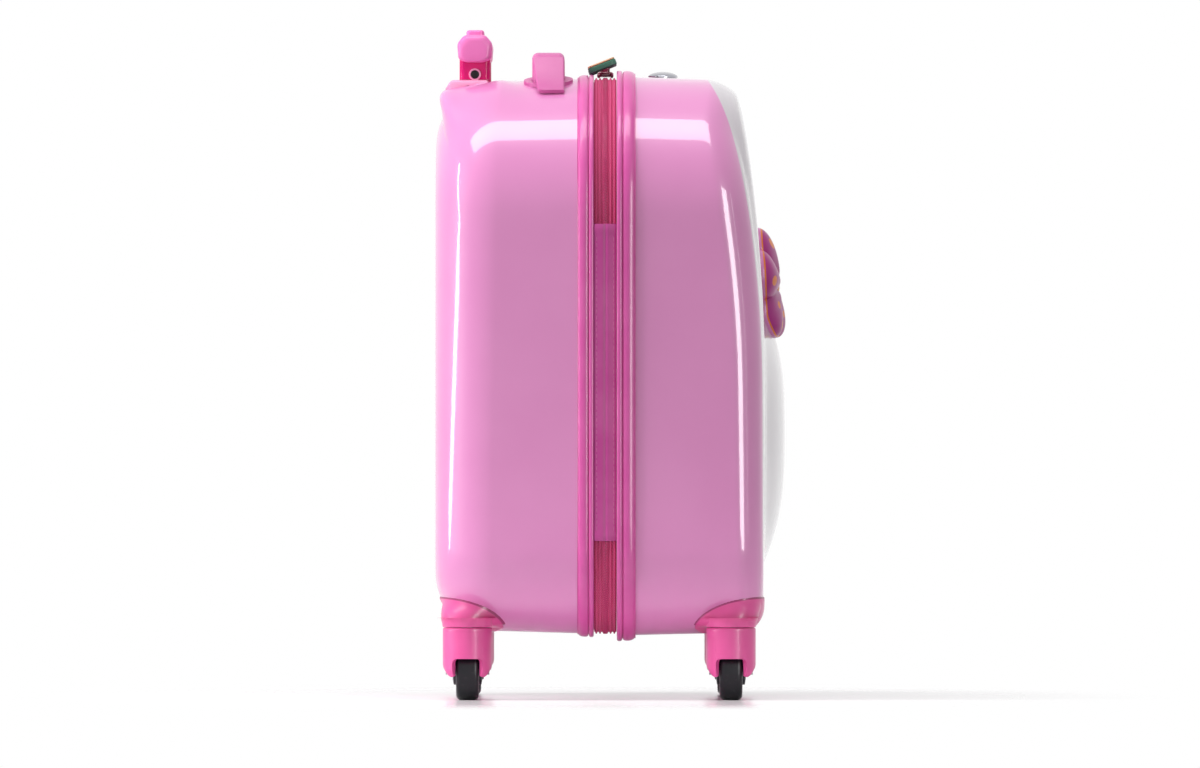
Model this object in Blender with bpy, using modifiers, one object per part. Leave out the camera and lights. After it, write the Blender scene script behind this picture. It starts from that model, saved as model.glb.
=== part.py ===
"""A child's hard-shell suitcase on four swivelling wheels.

The case stands on its wheels. +X points out of its front, +Y runs across its
width from the hinge side to the zip side, and +Z is up. A rear shell and a
front shell (the lid) meet at a zip that runs all round but for a soft hinge
strip on the -Y side. Sizes are in metres.
"""

import math

import bmesh
import bpy
from mathutils import Matrix, Vector

# Case
SHELL_WIDTH = 0.310
SHELL_BOTTOM = 0.046
SHELL_TOP = 0.4364
REAR_DEPTH = 0.119
FRONT_DEPTH = 0.1105
SHELL_WALL = 0.0025
SHELL_DRAFT = 0.002
TOP_CROWN = 0.007
TOP_CORNER_RADIUS = 0.090
BOTTOM_CORNER_RADIUS = 0.060
REAR_EDGE_RADIUS_LOW = 0.040
REAR_EDGE_RADIUS_HIGH = 0.046
FRONT_EDGE_RADIUS_LOW = 0.019
FRONT_EDGE_RADIUS_HIGH = 0.026
LID_OVERSIZE = 0.0013

# Front panel and its raised shapes
LEAN_START_RISE = 0.169
EDGE_LEAN = 0.027
CENTRE_LEAN = 0.020
FRONT_CROWN = 0.0017
PANEL_BOTTOM_RISE = 0.044
PANEL_TOP_MARGIN = 0.004
PANEL_SIDE_MARGIN = 0.027
DOME_HEIGHT = 0.0145
DOME_CENTRE_RISE = 0.141
DOME_HALF_HEIGHT = 0.095
DOME_HALF_WIDTH = 0.108
FLOWER_CENTRE_Y = -0.024
FLOWER_CENTRE_RISE = 0.103
FLOWER_RADIUS = 0.041
FLOWER_HEIGHT = 0.0140
FLOWER_PETALS = 5
FLOWER_NOTCH = 0.26
FLOWER_VALLEY = 0.80
FLOWER_SWELL = 1.12
FLOWER_TIP = 0.86
FLOWER_RINGS = (1.0, 0.84, 0.5)
EDGE_RELIEF_FADE = 1.6

# Rims, zip and hinge strip
ZIP_GAP = 0.0162
REAR_RIM_DEPTH = 0.0115
FRONT_RIM_DEPTH = 0.0131
REAR_RIM_PROUD = 0.0024
FRONT_RIM_PROUD = 0.0039
RIM_FLANGE = 0.0018
RIM_STEP = 0.0009
RIM_BEAD_SHARE = 0.36
RIM_RIDGE_SHARE = 0.68
RIM_LAND_STEPS = 1.7
RIM_LIP_STEPS = 1.9
TAPE_SINK = 0.0010
TAPE_THICKNESS = 0.0013
COIL_WIDTH = 0.0032
COIL_HEIGHT = 0.0032
HINGE_RISE = 0.067
HINGE_LENGTH = 0.218
HINGE_THICKNESS = 0.0014
HINGE_CREST = 0.6 * HINGE_THICKNESS
HINGE_STANDOFF = 0.0006

# Zip sliders and pulls
SLIDER_LENGTH = 0.013
SLIDER_WIDTH = 0.0105
SLIDER_HEIGHT = 0.0028
SLIDER_REST_Y = 0.0105
SLIDER_BEVEL = 0.0009
BRIDGE_LENGTH = 0.0090
BRIDGE_HEIGHT = 0.0056
BRIDGE_BAR = 0.0013
BRIDGE_WIDTH = 0.0026
PULL_WIDTH = 0.0205
PULL_LENGTH = 0.032
PULL_THICKNESS = 0.0056
PULL_TILT = math.radians(21.5)
PULL_OFFSET_X = -0.00225
PULL_LIFT = 0.0095
PULL_ARM = 0.0016
PULL_LOOP = 0.004

# Corner housings and casters
HOUSING_SKIN = 0.0022
HOUSING_REACH = 0.0506
HOUSING_REACH_Y = 0.070
HOUSING_RISE = 0.0256
HOUSING_SQUARENESS = 3.0
HOUSING_UNDERCUT = 1.9
HOUSING_FLARE = ((0.0, 0.0173), (0.0065, 0.0186), (0.0130, 0.0202), (0.0230, 0.0212))
SWIVEL_RISE = 0.0050
CASTER_INSET_Y = 0.030
CASTER_INSET_X = 0.0227
FORK_RADIUS = 0.0173
BOSS_RADIUS = 0.0178
BOSS_RISE = 0.0090
WHEEL_RADIUS = 0.020
WHEEL_WIDTH = 0.016
WHEEL_SIDES = 18
WHEEL_CLEARANCE = 0.0014
TRAIL = 0.007
FORK_SLOT_WIDTH = 0.0214
FORK_SLOT_DROP = 0.0221
FORK_END_RADIUS = 0.0075
FORK_WEB_RISE = 0.016
FORK_WEB_HALF = 0.0168
TYRE_THICKNESS = 0.0065
TREAD_ROUND = 0.0035
HUB_FACE_RADIUS = 0.0090
AXLE_RADIUS = 0.0020
AXLE_SHARE = 0.88
KINGPIN_RADIUS = 0.0035
KINGPIN_DEPTH = 0.0075
KINGPIN_REACH = 0.0072

# Trolley handle
TROLLEY_SETBACK = 0.0275
TROLLEY_SPACING_Y = 0.124
OUTER_TUBE_RADIUS = 0.0095
MID_TUBE_RADIUS = 0.0082
INNER_TUBE_RADIUS = 0.0069
TUBE_WALL = 0.0009
TUBE_STEP_DOWN = 0.004
TROLLEY_FOOT_HEIGHT = 0.026
TROLLEY_SOCKET_DEPTH = 0.010
TROLLEY_FOOT_MARGIN = 0.018
BEZEL_SINK = 0.0024
BEZEL_FRONT = 0.0375
BEZEL_DROP = 0.016
BEZEL_WIDTH_Y = 0.162
BEZEL_INSET = 0.0070
BEZEL_SLOPE = 0.0060
BEZEL_SLOPE_DEPTH = 0.0036
BEZEL_ROUND = 0.0025
SHOULDER_WIDTH_Y = 0.172
SHOULDER_TAPER_Y = 0.015
SHOULDER_TAPER_DROP = 0.015
SHOULDER_SECTION = ((0.0046, -0.0240), (0.0022, -0.0160), (0.0018, -0.0105), (0.0038, -0.0078),
                    (0.0075, -0.0065), (0.0150, -0.0061), (0.0237, -0.0040), (0.0237, -0.0190),
                    (0.0120, -0.0250))
COLLAR_RADIUS = 0.0112
COLLAR_DROP = 0.0165
GRIP_LEG_RISE = 0.0123
GRIP_HEIGHT = 0.0194
GRIP_WIDTH_X = 0.0249
GRIP_LENGTH_Y = 0.152
GRIP_SCALLOP = 0.0040
GRIP_LEG_X = 0.0216
GRIP_LEG_Y = 0.0180
GRIP_SOCKET_DEPTH = 0.006
GRIP_ROUND = 0.0055
BUTTON_WIDTH_X = 0.0125
BUTTON_LENGTH_Y = 0.044
BUTTON_PROUD = 0.0043
BUTTON_DEPTH = 0.0090
BUTTON_TRAVEL = 0.0035
BUTTON_BEVEL = 0.0016
LOCK_PIN_RADIUS = 0.0030
LOCK_PIN_PROUD = 0.0006
LOCK_PIN_RISE = 0.0040

# Carry handle
CARRY_SETBACK = 0.07905
CARRY_WIDTH_X = 0.0226
CARRY_THICKNESS = 0.0085
CARRY_RISE = 0.0169
CARRY_SPAN_Y = 0.160
CARRY_BEND = 0.013
CARRY_LIFT = 0.008
CARRY_POST_DROP = CARRY_LIFT + 0.0045
CARRY_SLEEVE = 0.0016
CARRY_PLATE_X = 0.0346
CARRY_PLATE_Y = 0.030
CARRY_PLATE_SKIN = 0.0030

# Inside
LINING_THICKNESS = 0.0012
LINING_GAP = 0.0008
LINING_HEADROOM = 0.015
LINING_BOTTOM_RADIUS = 0.095
LINING_EDGE_RADIUS = 0.016
STRAP_WIDTH = 0.030
STRAP_THICKNESS = 0.0014
STRAP_DEPTH = 0.018
STRAP_RISE = 0.184
BUCKLE_LENGTH = 0.034
BUCKLE_WIDTH = 0.038
BUCKLE_THICKNESS = 0.0065
BUCKLE_BEVEL = 0.002
POCKET_WIDTH = 0.210
POCKET_RISE = 0.039
POCKET_HEIGHT = 0.215
POCKET_THICKNESS = 0.0016
POCKET_ROUND = 0.020

CLEARANCE = 0.0003
ARC_STEPS = 5
EDGE_STEPS = 4
LINING_ARC_STEPS = 3
LINING_EDGE_STEPS = 2
HUB_SIDES = 12
CASTER_SIDES = 18
TUBE_SIDES = 14
PIN_SIDES = 10
FACE_RINGS = (0.93, 0.84, 0.74, 0.63, 0.51, 0.38, 0.23)

# Places that follow from the sizes above
RELIEF_HEIGHT = FRONT_CROWN + DOME_HEIGHT
BACK_X = -(REAR_DEPTH + FRONT_DEPTH + RELIEF_HEIGHT) / 2
SPLIT_X = BACK_X + REAR_DEPTH
FRONT_X = SPLIT_X + FRONT_DEPTH
REAR_RIM_X = SPLIT_X - ZIP_GAP / 2
FRONT_RIM_X = SPLIT_X + ZIP_GAP / 2
REAR_MOUTH_X = REAR_RIM_X - RIM_FLANGE - CLEARANCE
FRONT_MOUTH_X = FRONT_RIM_X + RIM_FLANGE + CLEARANCE
HALF_WIDTH = SHELL_WIDTH / 2
SHELL_MIDDLE_Z = (SHELL_BOTTOM + SHELL_TOP) / 2
LEAN_START = SHELL_BOTTOM + LEAN_START_RISE
PANEL_BOTTOM = SHELL_BOTTOM + PANEL_BOTTOM_RISE
DOME_CENTRE_Z = SHELL_BOTTOM + DOME_CENTRE_RISE
FLOWER_CENTRE_Z = DOME_CENTRE_Z + FLOWER_CENTRE_RISE
HINGE_BOTTOM = SHELL_BOTTOM + HINGE_RISE
HINGE_TOP = HINGE_BOTTOM + HINGE_LENGTH
LID_REACH = LID_OVERSIZE + FRONT_RIM_PROUD
HINGE_AXIS = Vector((SPLIT_X, -(HALF_WIDTH + LID_REACH + HINGE_STANDOFF), SHELL_MIDDLE_Z))
AXLE_HEIGHT = WHEEL_RADIUS * math.cos(math.pi / WHEEL_SIDES)
CASTER_Y = HALF_WIDTH - CASTER_INSET_Y
SWIVEL_HEIGHT = SHELL_BOTTOM + SWIVEL_RISE
FORK_SLOT_TOP = SWIVEL_HEIGHT - FORK_SLOT_DROP
REAR_CASTER_X = BACK_X + CASTER_INSET_X
FRONT_CASTER_X = FRONT_X - CASTER_INSET_X
TROLLEY_X = BACK_X + TROLLEY_SETBACK
TROLLEY_Y = TROLLEY_SPACING_Y / 2
BEZEL_TOP = SHELL_TOP - BEZEL_SINK
GRIP_TOP = BEZEL_TOP + GRIP_LEG_RISE + GRIP_HEIGHT
LOCK_PIN_HEIGHT = BEZEL_TOP + LOCK_PIN_RISE
CARRY_X = BACK_X + CARRY_SETBACK
CARRY_TOP = SHELL_TOP + CARRY_RISE
TUBE_TOP = BEZEL_TOP - RIM_FLANGE - CLEARANCE
TUBE_BOTTOM = SHELL_BOTTOM + TROLLEY_FOOT_HEIGHT - TROLLEY_SOCKET_DEPTH + CLEARANCE
FALSE_BACK_X = TROLLEY_X + OUTER_TUBE_RADIUS + 4 * CLEARANCE
ZIP_TOP_Z = SHELL_TOP - TAPE_SINK + COIL_HEIGHT / 2
STRAP_Z = SHELL_BOTTOM + STRAP_RISE
POCKET_BOTTOM = SHELL_BOTTOM + POCKET_RISE
POCKET_TOP = POCKET_BOTTOM + POCKET_HEIGHT

# Colours as red, green and blue in linear light
SHELL_PINK = (0.79, 0.31, 0.58)
RIM_PINK = (0.73, 0.11, 0.38)
ZIP_PINK = (0.55, 0.06, 0.20)
HINGE_PINK = (0.42, 0.06, 0.23)
CASTER_PINK = (0.82, 0.10, 0.37)
GRIP_PINK = (0.87, 0.16, 0.46)
BEZEL_PINK = (1.00, 0.30, 0.55)
HANDLE_PINK = (0.78, 0.20, 0.45)
PULL_GREEN = (0.02, 0.15, 0.09)
LINING_PINK = (0.80, 0.45, 0.60)
CHARCOAL = (0.017, 0.014, 0.023)
TUBE_GREY = (0.60, 0.60, 0.62)
STEEL_GREY = (0.45, 0.45, 0.47)

for leftover in list(bpy.data.objects):
    bpy.data.objects.remove(leftover)

PARTS = bpy.data.collections.new("kids_suitcase")
CUTTERS = bpy.data.collections.new("cutters")
bpy.context.scene.collection.children.link(PARTS)
bpy.context.scene.collection.children.link(CUTTERS)


def finish(name, colour, roughness, metallic=0.0):
    """A Principled material of one colour."""
    material = bpy.data.materials.new(name)
    material.use_nodes = True
    shader = material.node_tree.nodes["Principled BSDF"]
    shader.inputs["Base Color"].default_value = (*colour, 1.0)
    shader.inputs["Roughness"].default_value = roughness
    shader.inputs["Metallic"].default_value = metallic
    return material


def world_place(obj):
    """World position of an object whose parents only translate."""
    place = Vector(obj.location)
    while obj.parent:
        obj = obj.parent
        place += obj.location
    return place


def pivot(name, place, parent=None):
    """An empty on a joint's axis."""
    empty = bpy.data.objects.new(name, None)
    empty.empty_display_size = 0.02
    PARTS.objects.link(empty)
    attach(empty, place, parent)
    return empty


def attach(obj, place, parent):
    """Put an object at a world position under a parent."""
    obj.parent = parent
    obj.location = Vector(place) - (world_place(parent) if parent else Vector())


def add_part(name, mesh, material, parent=None, origin=None):
    """A named sub-part from a mesh in world coordinates."""
    place = Vector(origin) if origin else (world_place(parent) if parent else Vector())
    mesh.transform(Matrix.Translation(-place))
    return add_copy(name, mesh, material, place, parent)


def add_copy(name, mesh, material, place, parent=None):
    """A named sub-part from a mesh around its own origin, put at a world position."""
    mesh.name = name
    if not mesh.materials:
        mesh.materials.append(material)
    obj = bpy.data.objects.new(name, mesh)
    PARTS.objects.link(obj)
    attach(obj, place, parent)
    mesh.shade_smooth()
    mesh.set_sharp_from_angle(angle=math.radians(32))
    return obj


def helper(mesh, name="cutter"):
    """An object that only shapes others."""
    obj = bpy.data.objects.new(name, mesh)
    obj.hide_render = True
    obj.display_type = "WIRE"
    CUTTERS.objects.link(obj)
    return obj


def to_mesh(name, form):
    """A closed mesh from a bmesh, faces pointing out."""
    bmesh.ops.recalc_face_normals(form, faces=form.faces)
    mesh = bpy.data.meshes.new(name)
    form.to_mesh(mesh)
    form.free()
    return mesh


def shaped(mesh, *cuts, bevel=None, joins=()):
    """The mesh after an optional bevel, unions with joins and then cuts."""
    body = helper(mesh, "body")
    if bevel:
        rounding = body.modifiers.new("rounding", "BEVEL")
        rounding.width = bevel[0]
        rounding.segments = bevel[1]
        rounding.limit_method = "ANGLE"
        rounding.angle_limit = math.radians(40)
    tools = [(helper(join, "join"), "UNION") for join in joins]
    tools += [(helper(cut, "cut"), "DIFFERENCE") for cut in cuts]
    for tool, operation in tools:
        step = body.modifiers.new(operation.lower(), "BOOLEAN")
        step.object = tool
        step.operation = operation
        step.solver = "EXACT"
    result = evaluated(body)
    for used in [body] + [tool for tool, _ in tools]:
        bpy.data.objects.remove(used)
    return result


def common(first, second):
    """The mesh that two closed meshes share."""
    body, other = helper(first, "body"), helper(second, "other")
    step = body.modifiers.new("common", "BOOLEAN")
    step.object = other
    step.operation = "INTERSECT"
    step.solver = "EXACT"
    result = evaluated(body)
    bpy.data.objects.remove(body)
    bpy.data.objects.remove(other)
    return result


def evaluated(obj):
    """The mesh of an object with its modifiers applied."""
    bpy.context.view_layer.update()
    graph = bpy.context.evaluated_depsgraph_get()
    mesh = bpy.data.meshes.new_from_object(obj.evaluated_get(graph))
    form = bmesh.new()
    form.from_mesh(mesh)
    bmesh.ops.dissolve_degenerate(form, edges=form.edges, dist=1e-6)
    return to_mesh(obj.name, form)


def box(low, high):
    """A box between two opposite corners."""
    form = bmesh.new()
    bmesh.ops.create_cube(form, size=1.0)
    low, high = Vector(low), Vector(high)
    bmesh.ops.scale(form, vec=high - low, verts=form.verts)
    bmesh.ops.translate(form, vec=(low + high) / 2, verts=form.verts)
    return to_mesh("box", form)


def rod(radius, start, end, sides=24, stretch=(1.0, 1.0)):
    """A cylinder from start to end along X, Y or Z, stretched across its axis if asked."""
    start, end = Vector(start), Vector(end)
    along = end - start
    form = bmesh.new()
    bmesh.ops.create_cone(form, cap_ends=True, segments=sides, radius1=radius,
                          radius2=radius, depth=along.length)
    bmesh.ops.rotate(form, verts=form.verts, matrix=Matrix.Rotation(math.pi / sides, 3, "Z"))
    bmesh.ops.scale(form, vec=(stretch[0], stretch[1], 1.0), verts=form.verts)
    turn = Vector((0, 0, 1)).rotation_difference(along).to_matrix()
    bmesh.ops.rotate(form, verts=form.verts, matrix=turn)
    bmesh.ops.translate(form, vec=(start + end) / 2, verts=form.verts)
    return to_mesh("rod", form)


def turned(profile, sides, axis="Z"):
    """A ring turned from a profile of (radius, height) points about an axis."""
    form = bmesh.new()
    verts = [form.verts.new((radius, 0.0, height)) for radius, height in profile]
    for first, second in zip(verts, verts[1:] + verts[:1]):
        form.edges.new((first, second))
    mesh = bpy.data.meshes.new("profile")
    form.to_mesh(mesh)
    form.free()
    obj = helper(mesh, "profile")
    screw = obj.modifiers.new("turning", "SCREW")
    screw.steps = screw.render_steps = sides
    screw.use_merge_vertices = True
    screw.merge_threshold = 0.00001
    result = evaluated(obj)
    bpy.data.objects.remove(obj)
    result.transform(Matrix.Rotation(math.pi / sides, 4, "Z"))
    if axis == "X":
        result.transform(Matrix.Rotation(math.pi / 2, 4, "Y"))
    return result


def mirrored(mesh):
    """The mesh reflected to the other side of the width's middle plane."""
    form = bmesh.new()
    form.from_mesh(mesh)
    bmesh.ops.scale(form, vec=(1.0, -1.0, 1.0), verts=form.verts)
    return to_mesh(mesh.name, form)


def loft(rings, start="cap", end="cap", closed=True, looped=False):
    """A skin over rings of as many points each, with its ends capped, left open or looped.

    An end may also be a point, which then gets a fan of triangles.
    """
    form = bmesh.new()
    rows = [[form.verts.new(point) for point in ring] for ring in rings]
    count = len(rows[0])
    spans = list(zip(rows, rows[1:] + rows[:1])) if looped else list(zip(rows, rows[1:]))
    for first, second in spans:
        for i in range(count if closed else count - 1):
            j = (i + 1) % count
            form.faces.new((first[i], first[j], second[j], second[i]))
    for row, ending in ((rows[0], start), (rows[-1], end)):
        if looped or ending == "open":
            continue
        if ending == "cap":
            form.faces.new(row)
            continue
        tip = form.verts.new(ending)
        for i in range(count):
            form.faces.new((row[i], row[(i + 1) % count], tip))
    return to_mesh("loft", form)


def arc(centre, radius, start, end, steps):
    """Points and outward normals along an arc, angles in degrees."""
    points = []
    for i in range(steps + 1):
        angle = math.radians(start + (end - start) * i / steps)
        normal = (math.cos(angle), math.sin(angle))
        points.append((centre[0] + radius * normal[0], centre[1] + radius * normal[1], *normal))
    return points


def between(first, last, count):
    """Evenly spaced values strictly between two values."""
    return [first + (last - first) * (i + 1) / (count + 1) for i in range(count)]


def case_outline(headroom=0.0, bottom_radius=BOTTOM_CORNER_RADIUS, steps=ARC_STEPS):
    """The case's outline seen along X, as (y, z, normal y, normal z).

    It starts at the hinge strip's top end, runs up the hinge side, over the
    crowned top, down the zip side and along the bottom, and ends on the strip.
    """
    top = SHELL_TOP - TOP_CROWN - headroom
    top_run = HALF_WIDTH - TOP_CORNER_RADIUS
    top_arc_z = top - TOP_CORNER_RADIUS
    low_run = HALF_WIDTH - bottom_radius
    low_arc_z = SHELL_BOTTOM + bottom_radius
    strip_top = min(HINGE_TOP, top_arc_z - CLEARANCE)
    strip_bottom = HINGE_BOTTOM if HINGE_BOTTOM > low_arc_z else low_arc_z + CLEARANCE
    points = [(-HALF_WIDTH, strip_top, -1.0, 0.0)]
    points += arc((-top_run, top_arc_z), TOP_CORNER_RADIUS, 180, 90, steps)
    points += [(y, top, 0.0, 1.0) for y in between(-top_run, top_run, 3)]
    points += arc((top_run, top_arc_z), TOP_CORNER_RADIUS, 90, 0, steps)
    points += [(HALF_WIDTH, z, 1.0, 0.0) for z in between(top_arc_z, low_arc_z, 3)]
    points += arc((low_run, low_arc_z), bottom_radius, 0, -90, steps)
    points += [(y, SHELL_BOTTOM, 0.0, -1.0) for y in between(low_run, -low_run, 3)]
    points += arc((-low_run, low_arc_z), bottom_radius, 270, 180, steps)
    points += [(-HALF_WIDTH, strip_bottom, -1.0, 0.0),
               (-HALF_WIDTH, (strip_top + strip_bottom) / 2, -1.0, 0.0)]
    return [crowned(*point) for point in points]


def crowned(y, z, normal_y, normal_z):
    """Raise a point of the upper half to the top's crown and turn its normal to suit."""
    if z < SHELL_MIDDLE_Z:
        return y, z, normal_y, normal_z
    slope = -2 * TOP_CROWN * y / HALF_WIDTH ** 2
    normal = Vector((normal_y - normal_z * slope, normal_z)).normalized()
    return y, z + TOP_CROWN * (1 - (y / HALF_WIDTH) ** 2), normal.x, normal.y


def lean(z):
    """How far the front has leaned back at a height, from 0 to 1 at the top."""
    return (max(0.0, z - LEAN_START) / (SHELL_TOP - LEAN_START)) ** 2


def front_edge_x(z):
    """Depth of the front face where it meets its rounded edge."""
    return FRONT_X - EDGE_LEAN * lean(z)


def rising(low, high, z):
    """A size that goes evenly from one value at the shell's bottom to another at its top."""
    return low + (high - low) * (z - SHELL_BOTTOM) / (SHELL_TOP - SHELL_BOTTOM)


def front_edge_radius(z):
    """The front's edge rounding, softer towards the top."""
    return rising(FRONT_EDGE_RADIUS_LOW, FRONT_EDGE_RADIUS_HIGH, z)


def rear_edge_radius(z):
    """The back's edge rounding."""
    return rising(REAR_EDGE_RADIUS_LOW, REAR_EDGE_RADIUS_HIGH, z)


def relief(y, z):
    """Height of the front's crowned panel and of its dome over the front edge."""
    panel_top = SHELL_TOP - PANEL_TOP_MARGIN
    across = abs(y) / (HALF_WIDTH - PANEL_SIDE_MARGIN)
    along = abs(2 * z - panel_top - PANEL_BOTTOM) / (panel_top - PANEL_BOTTOM)
    panel = max(0.0, 1 - (across ** 4 + along ** 4) ** 5)
    height = ((EDGE_LEAN - CENTRE_LEAN) * lean(z) + FRONT_CROWN) * panel
    offset = Vector((y / DOME_HALF_WIDTH, (z - DOME_CENTRE_Z) / DOME_HALF_HEIGHT))
    share = min(1.0, offset.length)
    return height + DOME_HEIGHT * (1 - share ** 3) ** 1.25


def front_x(y, z):
    """Depth of the front's outer surface."""
    return front_edge_x(z) + relief(y, z)


def bowl(mouth_x, face, radius, grow=0.0, skin=0.0, outline=None, steps=EDGE_STEPS):
    """Rings of a shell's surface from its mouth to its flat face.

    face and radius give the depth of the face and its edge rounding at a
    height. grow widens the outline, skin moves the whole surface outwards.
    """
    rings = []
    outline = outline or case_outline()
    middle = face(SHELL_MIDDLE_Z)
    outward = math.copysign(1.0, middle - mouth_x)
    for share in (0.0, 1.0):
        ring = []
        for y, z, normal_y, normal_z in outline:
            out = grow + skin - SHELL_DRAFT * share
            height = z + normal_z * out
            start = face(height) - outward * radius(height)
            x = mouth_x + (start - mouth_x) * share
            ring.append((x, y + normal_y * out, height))
        rings.append(ring)
    for step in range(1, steps + 1):
        angle = math.radians(90 * step / steps)
        ring = []
        for y, z, normal_y, normal_z in outline:
            rounding = radius(z)
            out = grow - SHELL_DRAFT - rounding * (1 - math.cos(angle)) + skin * math.cos(angle)
            height = z + normal_z * out
            depth = rounding * (1 - math.sin(angle)) - skin * math.sin(angle)
            ring.append((face(height) - outward * depth, y + normal_y * out, height))
        rings.append(ring)
    return rings


def rear_form(skin=0.0):
    """Rings of the rear shell's surface."""
    return bowl(REAR_MOUTH_X, lambda z: BACK_X, rear_edge_radius, skin=skin)


def front_form(skin=0.0):
    """Rings of the front shell's surface, without what is raised on its face."""
    return bowl(FRONT_MOUTH_X, front_edge_x, front_edge_radius, grow=LID_OVERSIZE, skin=skin)


def hollowed(mesh, thickness, cuts=(), joins=()):
    """An open surface thickened inwards, then joined and cut."""
    body = helper(mesh, "shell")
    wall = body.modifiers.new("wall", "SOLIDIFY")
    wall.thickness = thickness
    wall.offset = -1.0
    wall.use_even_offset = True
    result = evaluated(body)
    bpy.data.objects.remove(body)
    return shaped(result, *cuts, joins=joins) if cuts or joins else result


def facing(mesh, point, outward):
    """Turn an open surface so that the face nearest a point looks outward."""
    form = bmesh.new()
    form.from_mesh(mesh)
    nearest = min(form.faces, key=lambda face: (face.calc_center_median() - Vector(point)).length)
    if nearest.normal.dot(Vector(outward)) < 0:
        bmesh.ops.reverse_faces(form, faces=form.faces)
    form.to_mesh(mesh)
    form.free()
    return mesh


def caster_pocket(x, side):
    """The hole that a corner boss and the top of its fork need in a shell."""
    radius = BOSS_RADIUS + CLEARANCE
    return rod(radius, (x, side * CASTER_Y, 0), (x, side * CASTER_Y, SWIVEL_HEIGHT + BOSS_RISE), 24)


def shoulder(margin=0.0):
    """The moulded platform over the top back edge that the trolley's bezel sits on."""
    half = SHOULDER_WIDTH_Y / 2
    stations = ((-half - SHOULDER_TAPER_Y, SHOULDER_TAPER_DROP), (-half, 0.0), (half, 0.0),
                (half + SHOULDER_TAPER_Y, SHOULDER_TAPER_DROP))
    block = loft([[(BACK_X + depth + sink, y, BEZEL_TOP + rise - sink + margin)
                   for depth, rise in SHOULDER_SECTION] for y, sink in stations])
    return shaped(block, loft(rear_form(skin=-SHELL_WALL / 2)))


def rear_shell():
    """The back half of the case, with holes for the trolley and the carry handle."""
    surface = facing(loft(rear_form(), start="open"),
                     (BACK_X, 0, SHELL_MIDDLE_Z), (-1, 0, 0))
    cuts = [caster_pocket(REAR_CASTER_X, side) for side in (-1, 1)]
    for side in (-1, 1):
        y = side * TROLLEY_Y
        cuts.append(rod(COLLAR_RADIUS + CLEARANCE, (TROLLEY_X, y, SHELL_MIDDLE_Z),
                        (TROLLEY_X, y, SHELL_TOP + TOP_CROWN), 24))
        cuts.append(carry_collar(side, CLEARANCE))
    return hollowed(surface, SHELL_WALL, cuts, joins=[shoulder()])


def front_shell():
    """The lid: its face leans back and carries a crowned panel, a dome and a flower."""
    rings = front_form()
    face = rings[-1]
    centre = (0.0, DOME_CENTRE_Z)
    for share in FACE_RINGS:
        rings.append([(0.0, centre[0] + (y - centre[0]) * share, centre[1] + (z - centre[1]) * share)
                      for _, y, z in face])
    for i, ring in enumerate(rings):
        on_face = i >= len(rings) - len(FACE_RINGS) - 1
        rings[i] = [(front_x(y, z) if on_face else x + relief(y, z) * edge_share(x, z), y, z)
                    for x, y, z in ring]
    surface = loft(rings, start="open", end=(front_x(*centre), *centre))
    surface = facing(surface, (front_x(*centre), *centre), (1, 0, 0))
    cuts = [caster_pocket(FRONT_CASTER_X, side) for side in (-1, 1)]
    return hollowed(surface, SHELL_WALL, cuts, joins=[flower()])


def edge_share(x, z):
    """Share of the relief that reaches a point of the rounded edge, 1 on the face."""
    depth = (front_edge_x(z) - x) / front_edge_radius(z)
    return max(0.0, 1 - depth * EDGE_RELIEF_FADE)


def flower():
    """A raised flower of rounded petals, its foot sunk in the front's wall."""
    spokes = 6 * FLOWER_PETALS
    rows = []
    for share in FLOWER_RINGS:
        row = []
        for i in range(spokes):
            angle = math.tau * i / spokes
            lobe = abs(math.cos(FLOWER_PETALS * (angle - math.pi / 2) / 2))
            reach = FLOWER_RADIUS * (1 - FLOWER_NOTCH + FLOWER_NOTCH * lobe) * share
            y = FLOWER_CENTRE_Y + reach * math.cos(angle)
            z = FLOWER_CENTRE_Z + reach * math.sin(angle)
            swell = math.sqrt(1 - share ** 2) * (FLOWER_VALLEY + (1 - FLOWER_VALLEY) * lobe)
            row.append((front_x(y, z) + FLOWER_HEIGHT * min(1.0, FLOWER_SWELL * swell), y, z))
        rows.append(row)
    foot = [[(front_x(y, z) - SHELL_WALL / 2, y, z) for _, y, z in row] for row in rows]
    centre = (FLOWER_CENTRE_Y, FLOWER_CENTRE_Z)
    base = (front_x(*centre) - SHELL_WALL / 2, *centre)
    tip = (front_x(*centre) + FLOWER_HEIGHT * FLOWER_TIP, *centre)
    return loft(foot[::-1] + rows, start=base, end=tip)


def ring_of(section, outline, grow, mouth_x, outward, looped):
    """Sweep a section of (depth, rise) points round an outline."""
    rings = []
    for y, z, normal_y, normal_z in outline:
        rings.append([(mouth_x + outward * depth, y + normal_y * (grow + rise),
                       z + normal_z * (grow + rise)) for depth, rise in section])
    return loft(rings, looped=looped)


def rim(mouth_x, depth, proud, outward, grow):
    """A rim that caps a shell's mouth: a flange over its edge and a stepped, beaded skirt."""
    low = -(SHELL_WALL + CLEARANCE)
    bead, ridge = depth * RIM_BEAD_SHARE, depth * RIM_RIDGE_SHARE
    section = [(0, low), (0, proud - RIM_STEP), (RIM_STEP, proud), (bead, proud),
               (bead + RIM_STEP, proud - RIM_STEP), (ridge, proud - RIM_STEP),
               (ridge + RIM_STEP / 2, proud - RIM_LAND_STEPS * RIM_STEP),
               (depth, proud - RIM_LIP_STEPS * RIM_STEP),
               (depth, CLEARANCE), (RIM_FLANGE, CLEARANCE), (RIM_FLANGE, low)]
    return ring_of(section, case_outline(), grow, mouth_x, outward, True)


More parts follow.
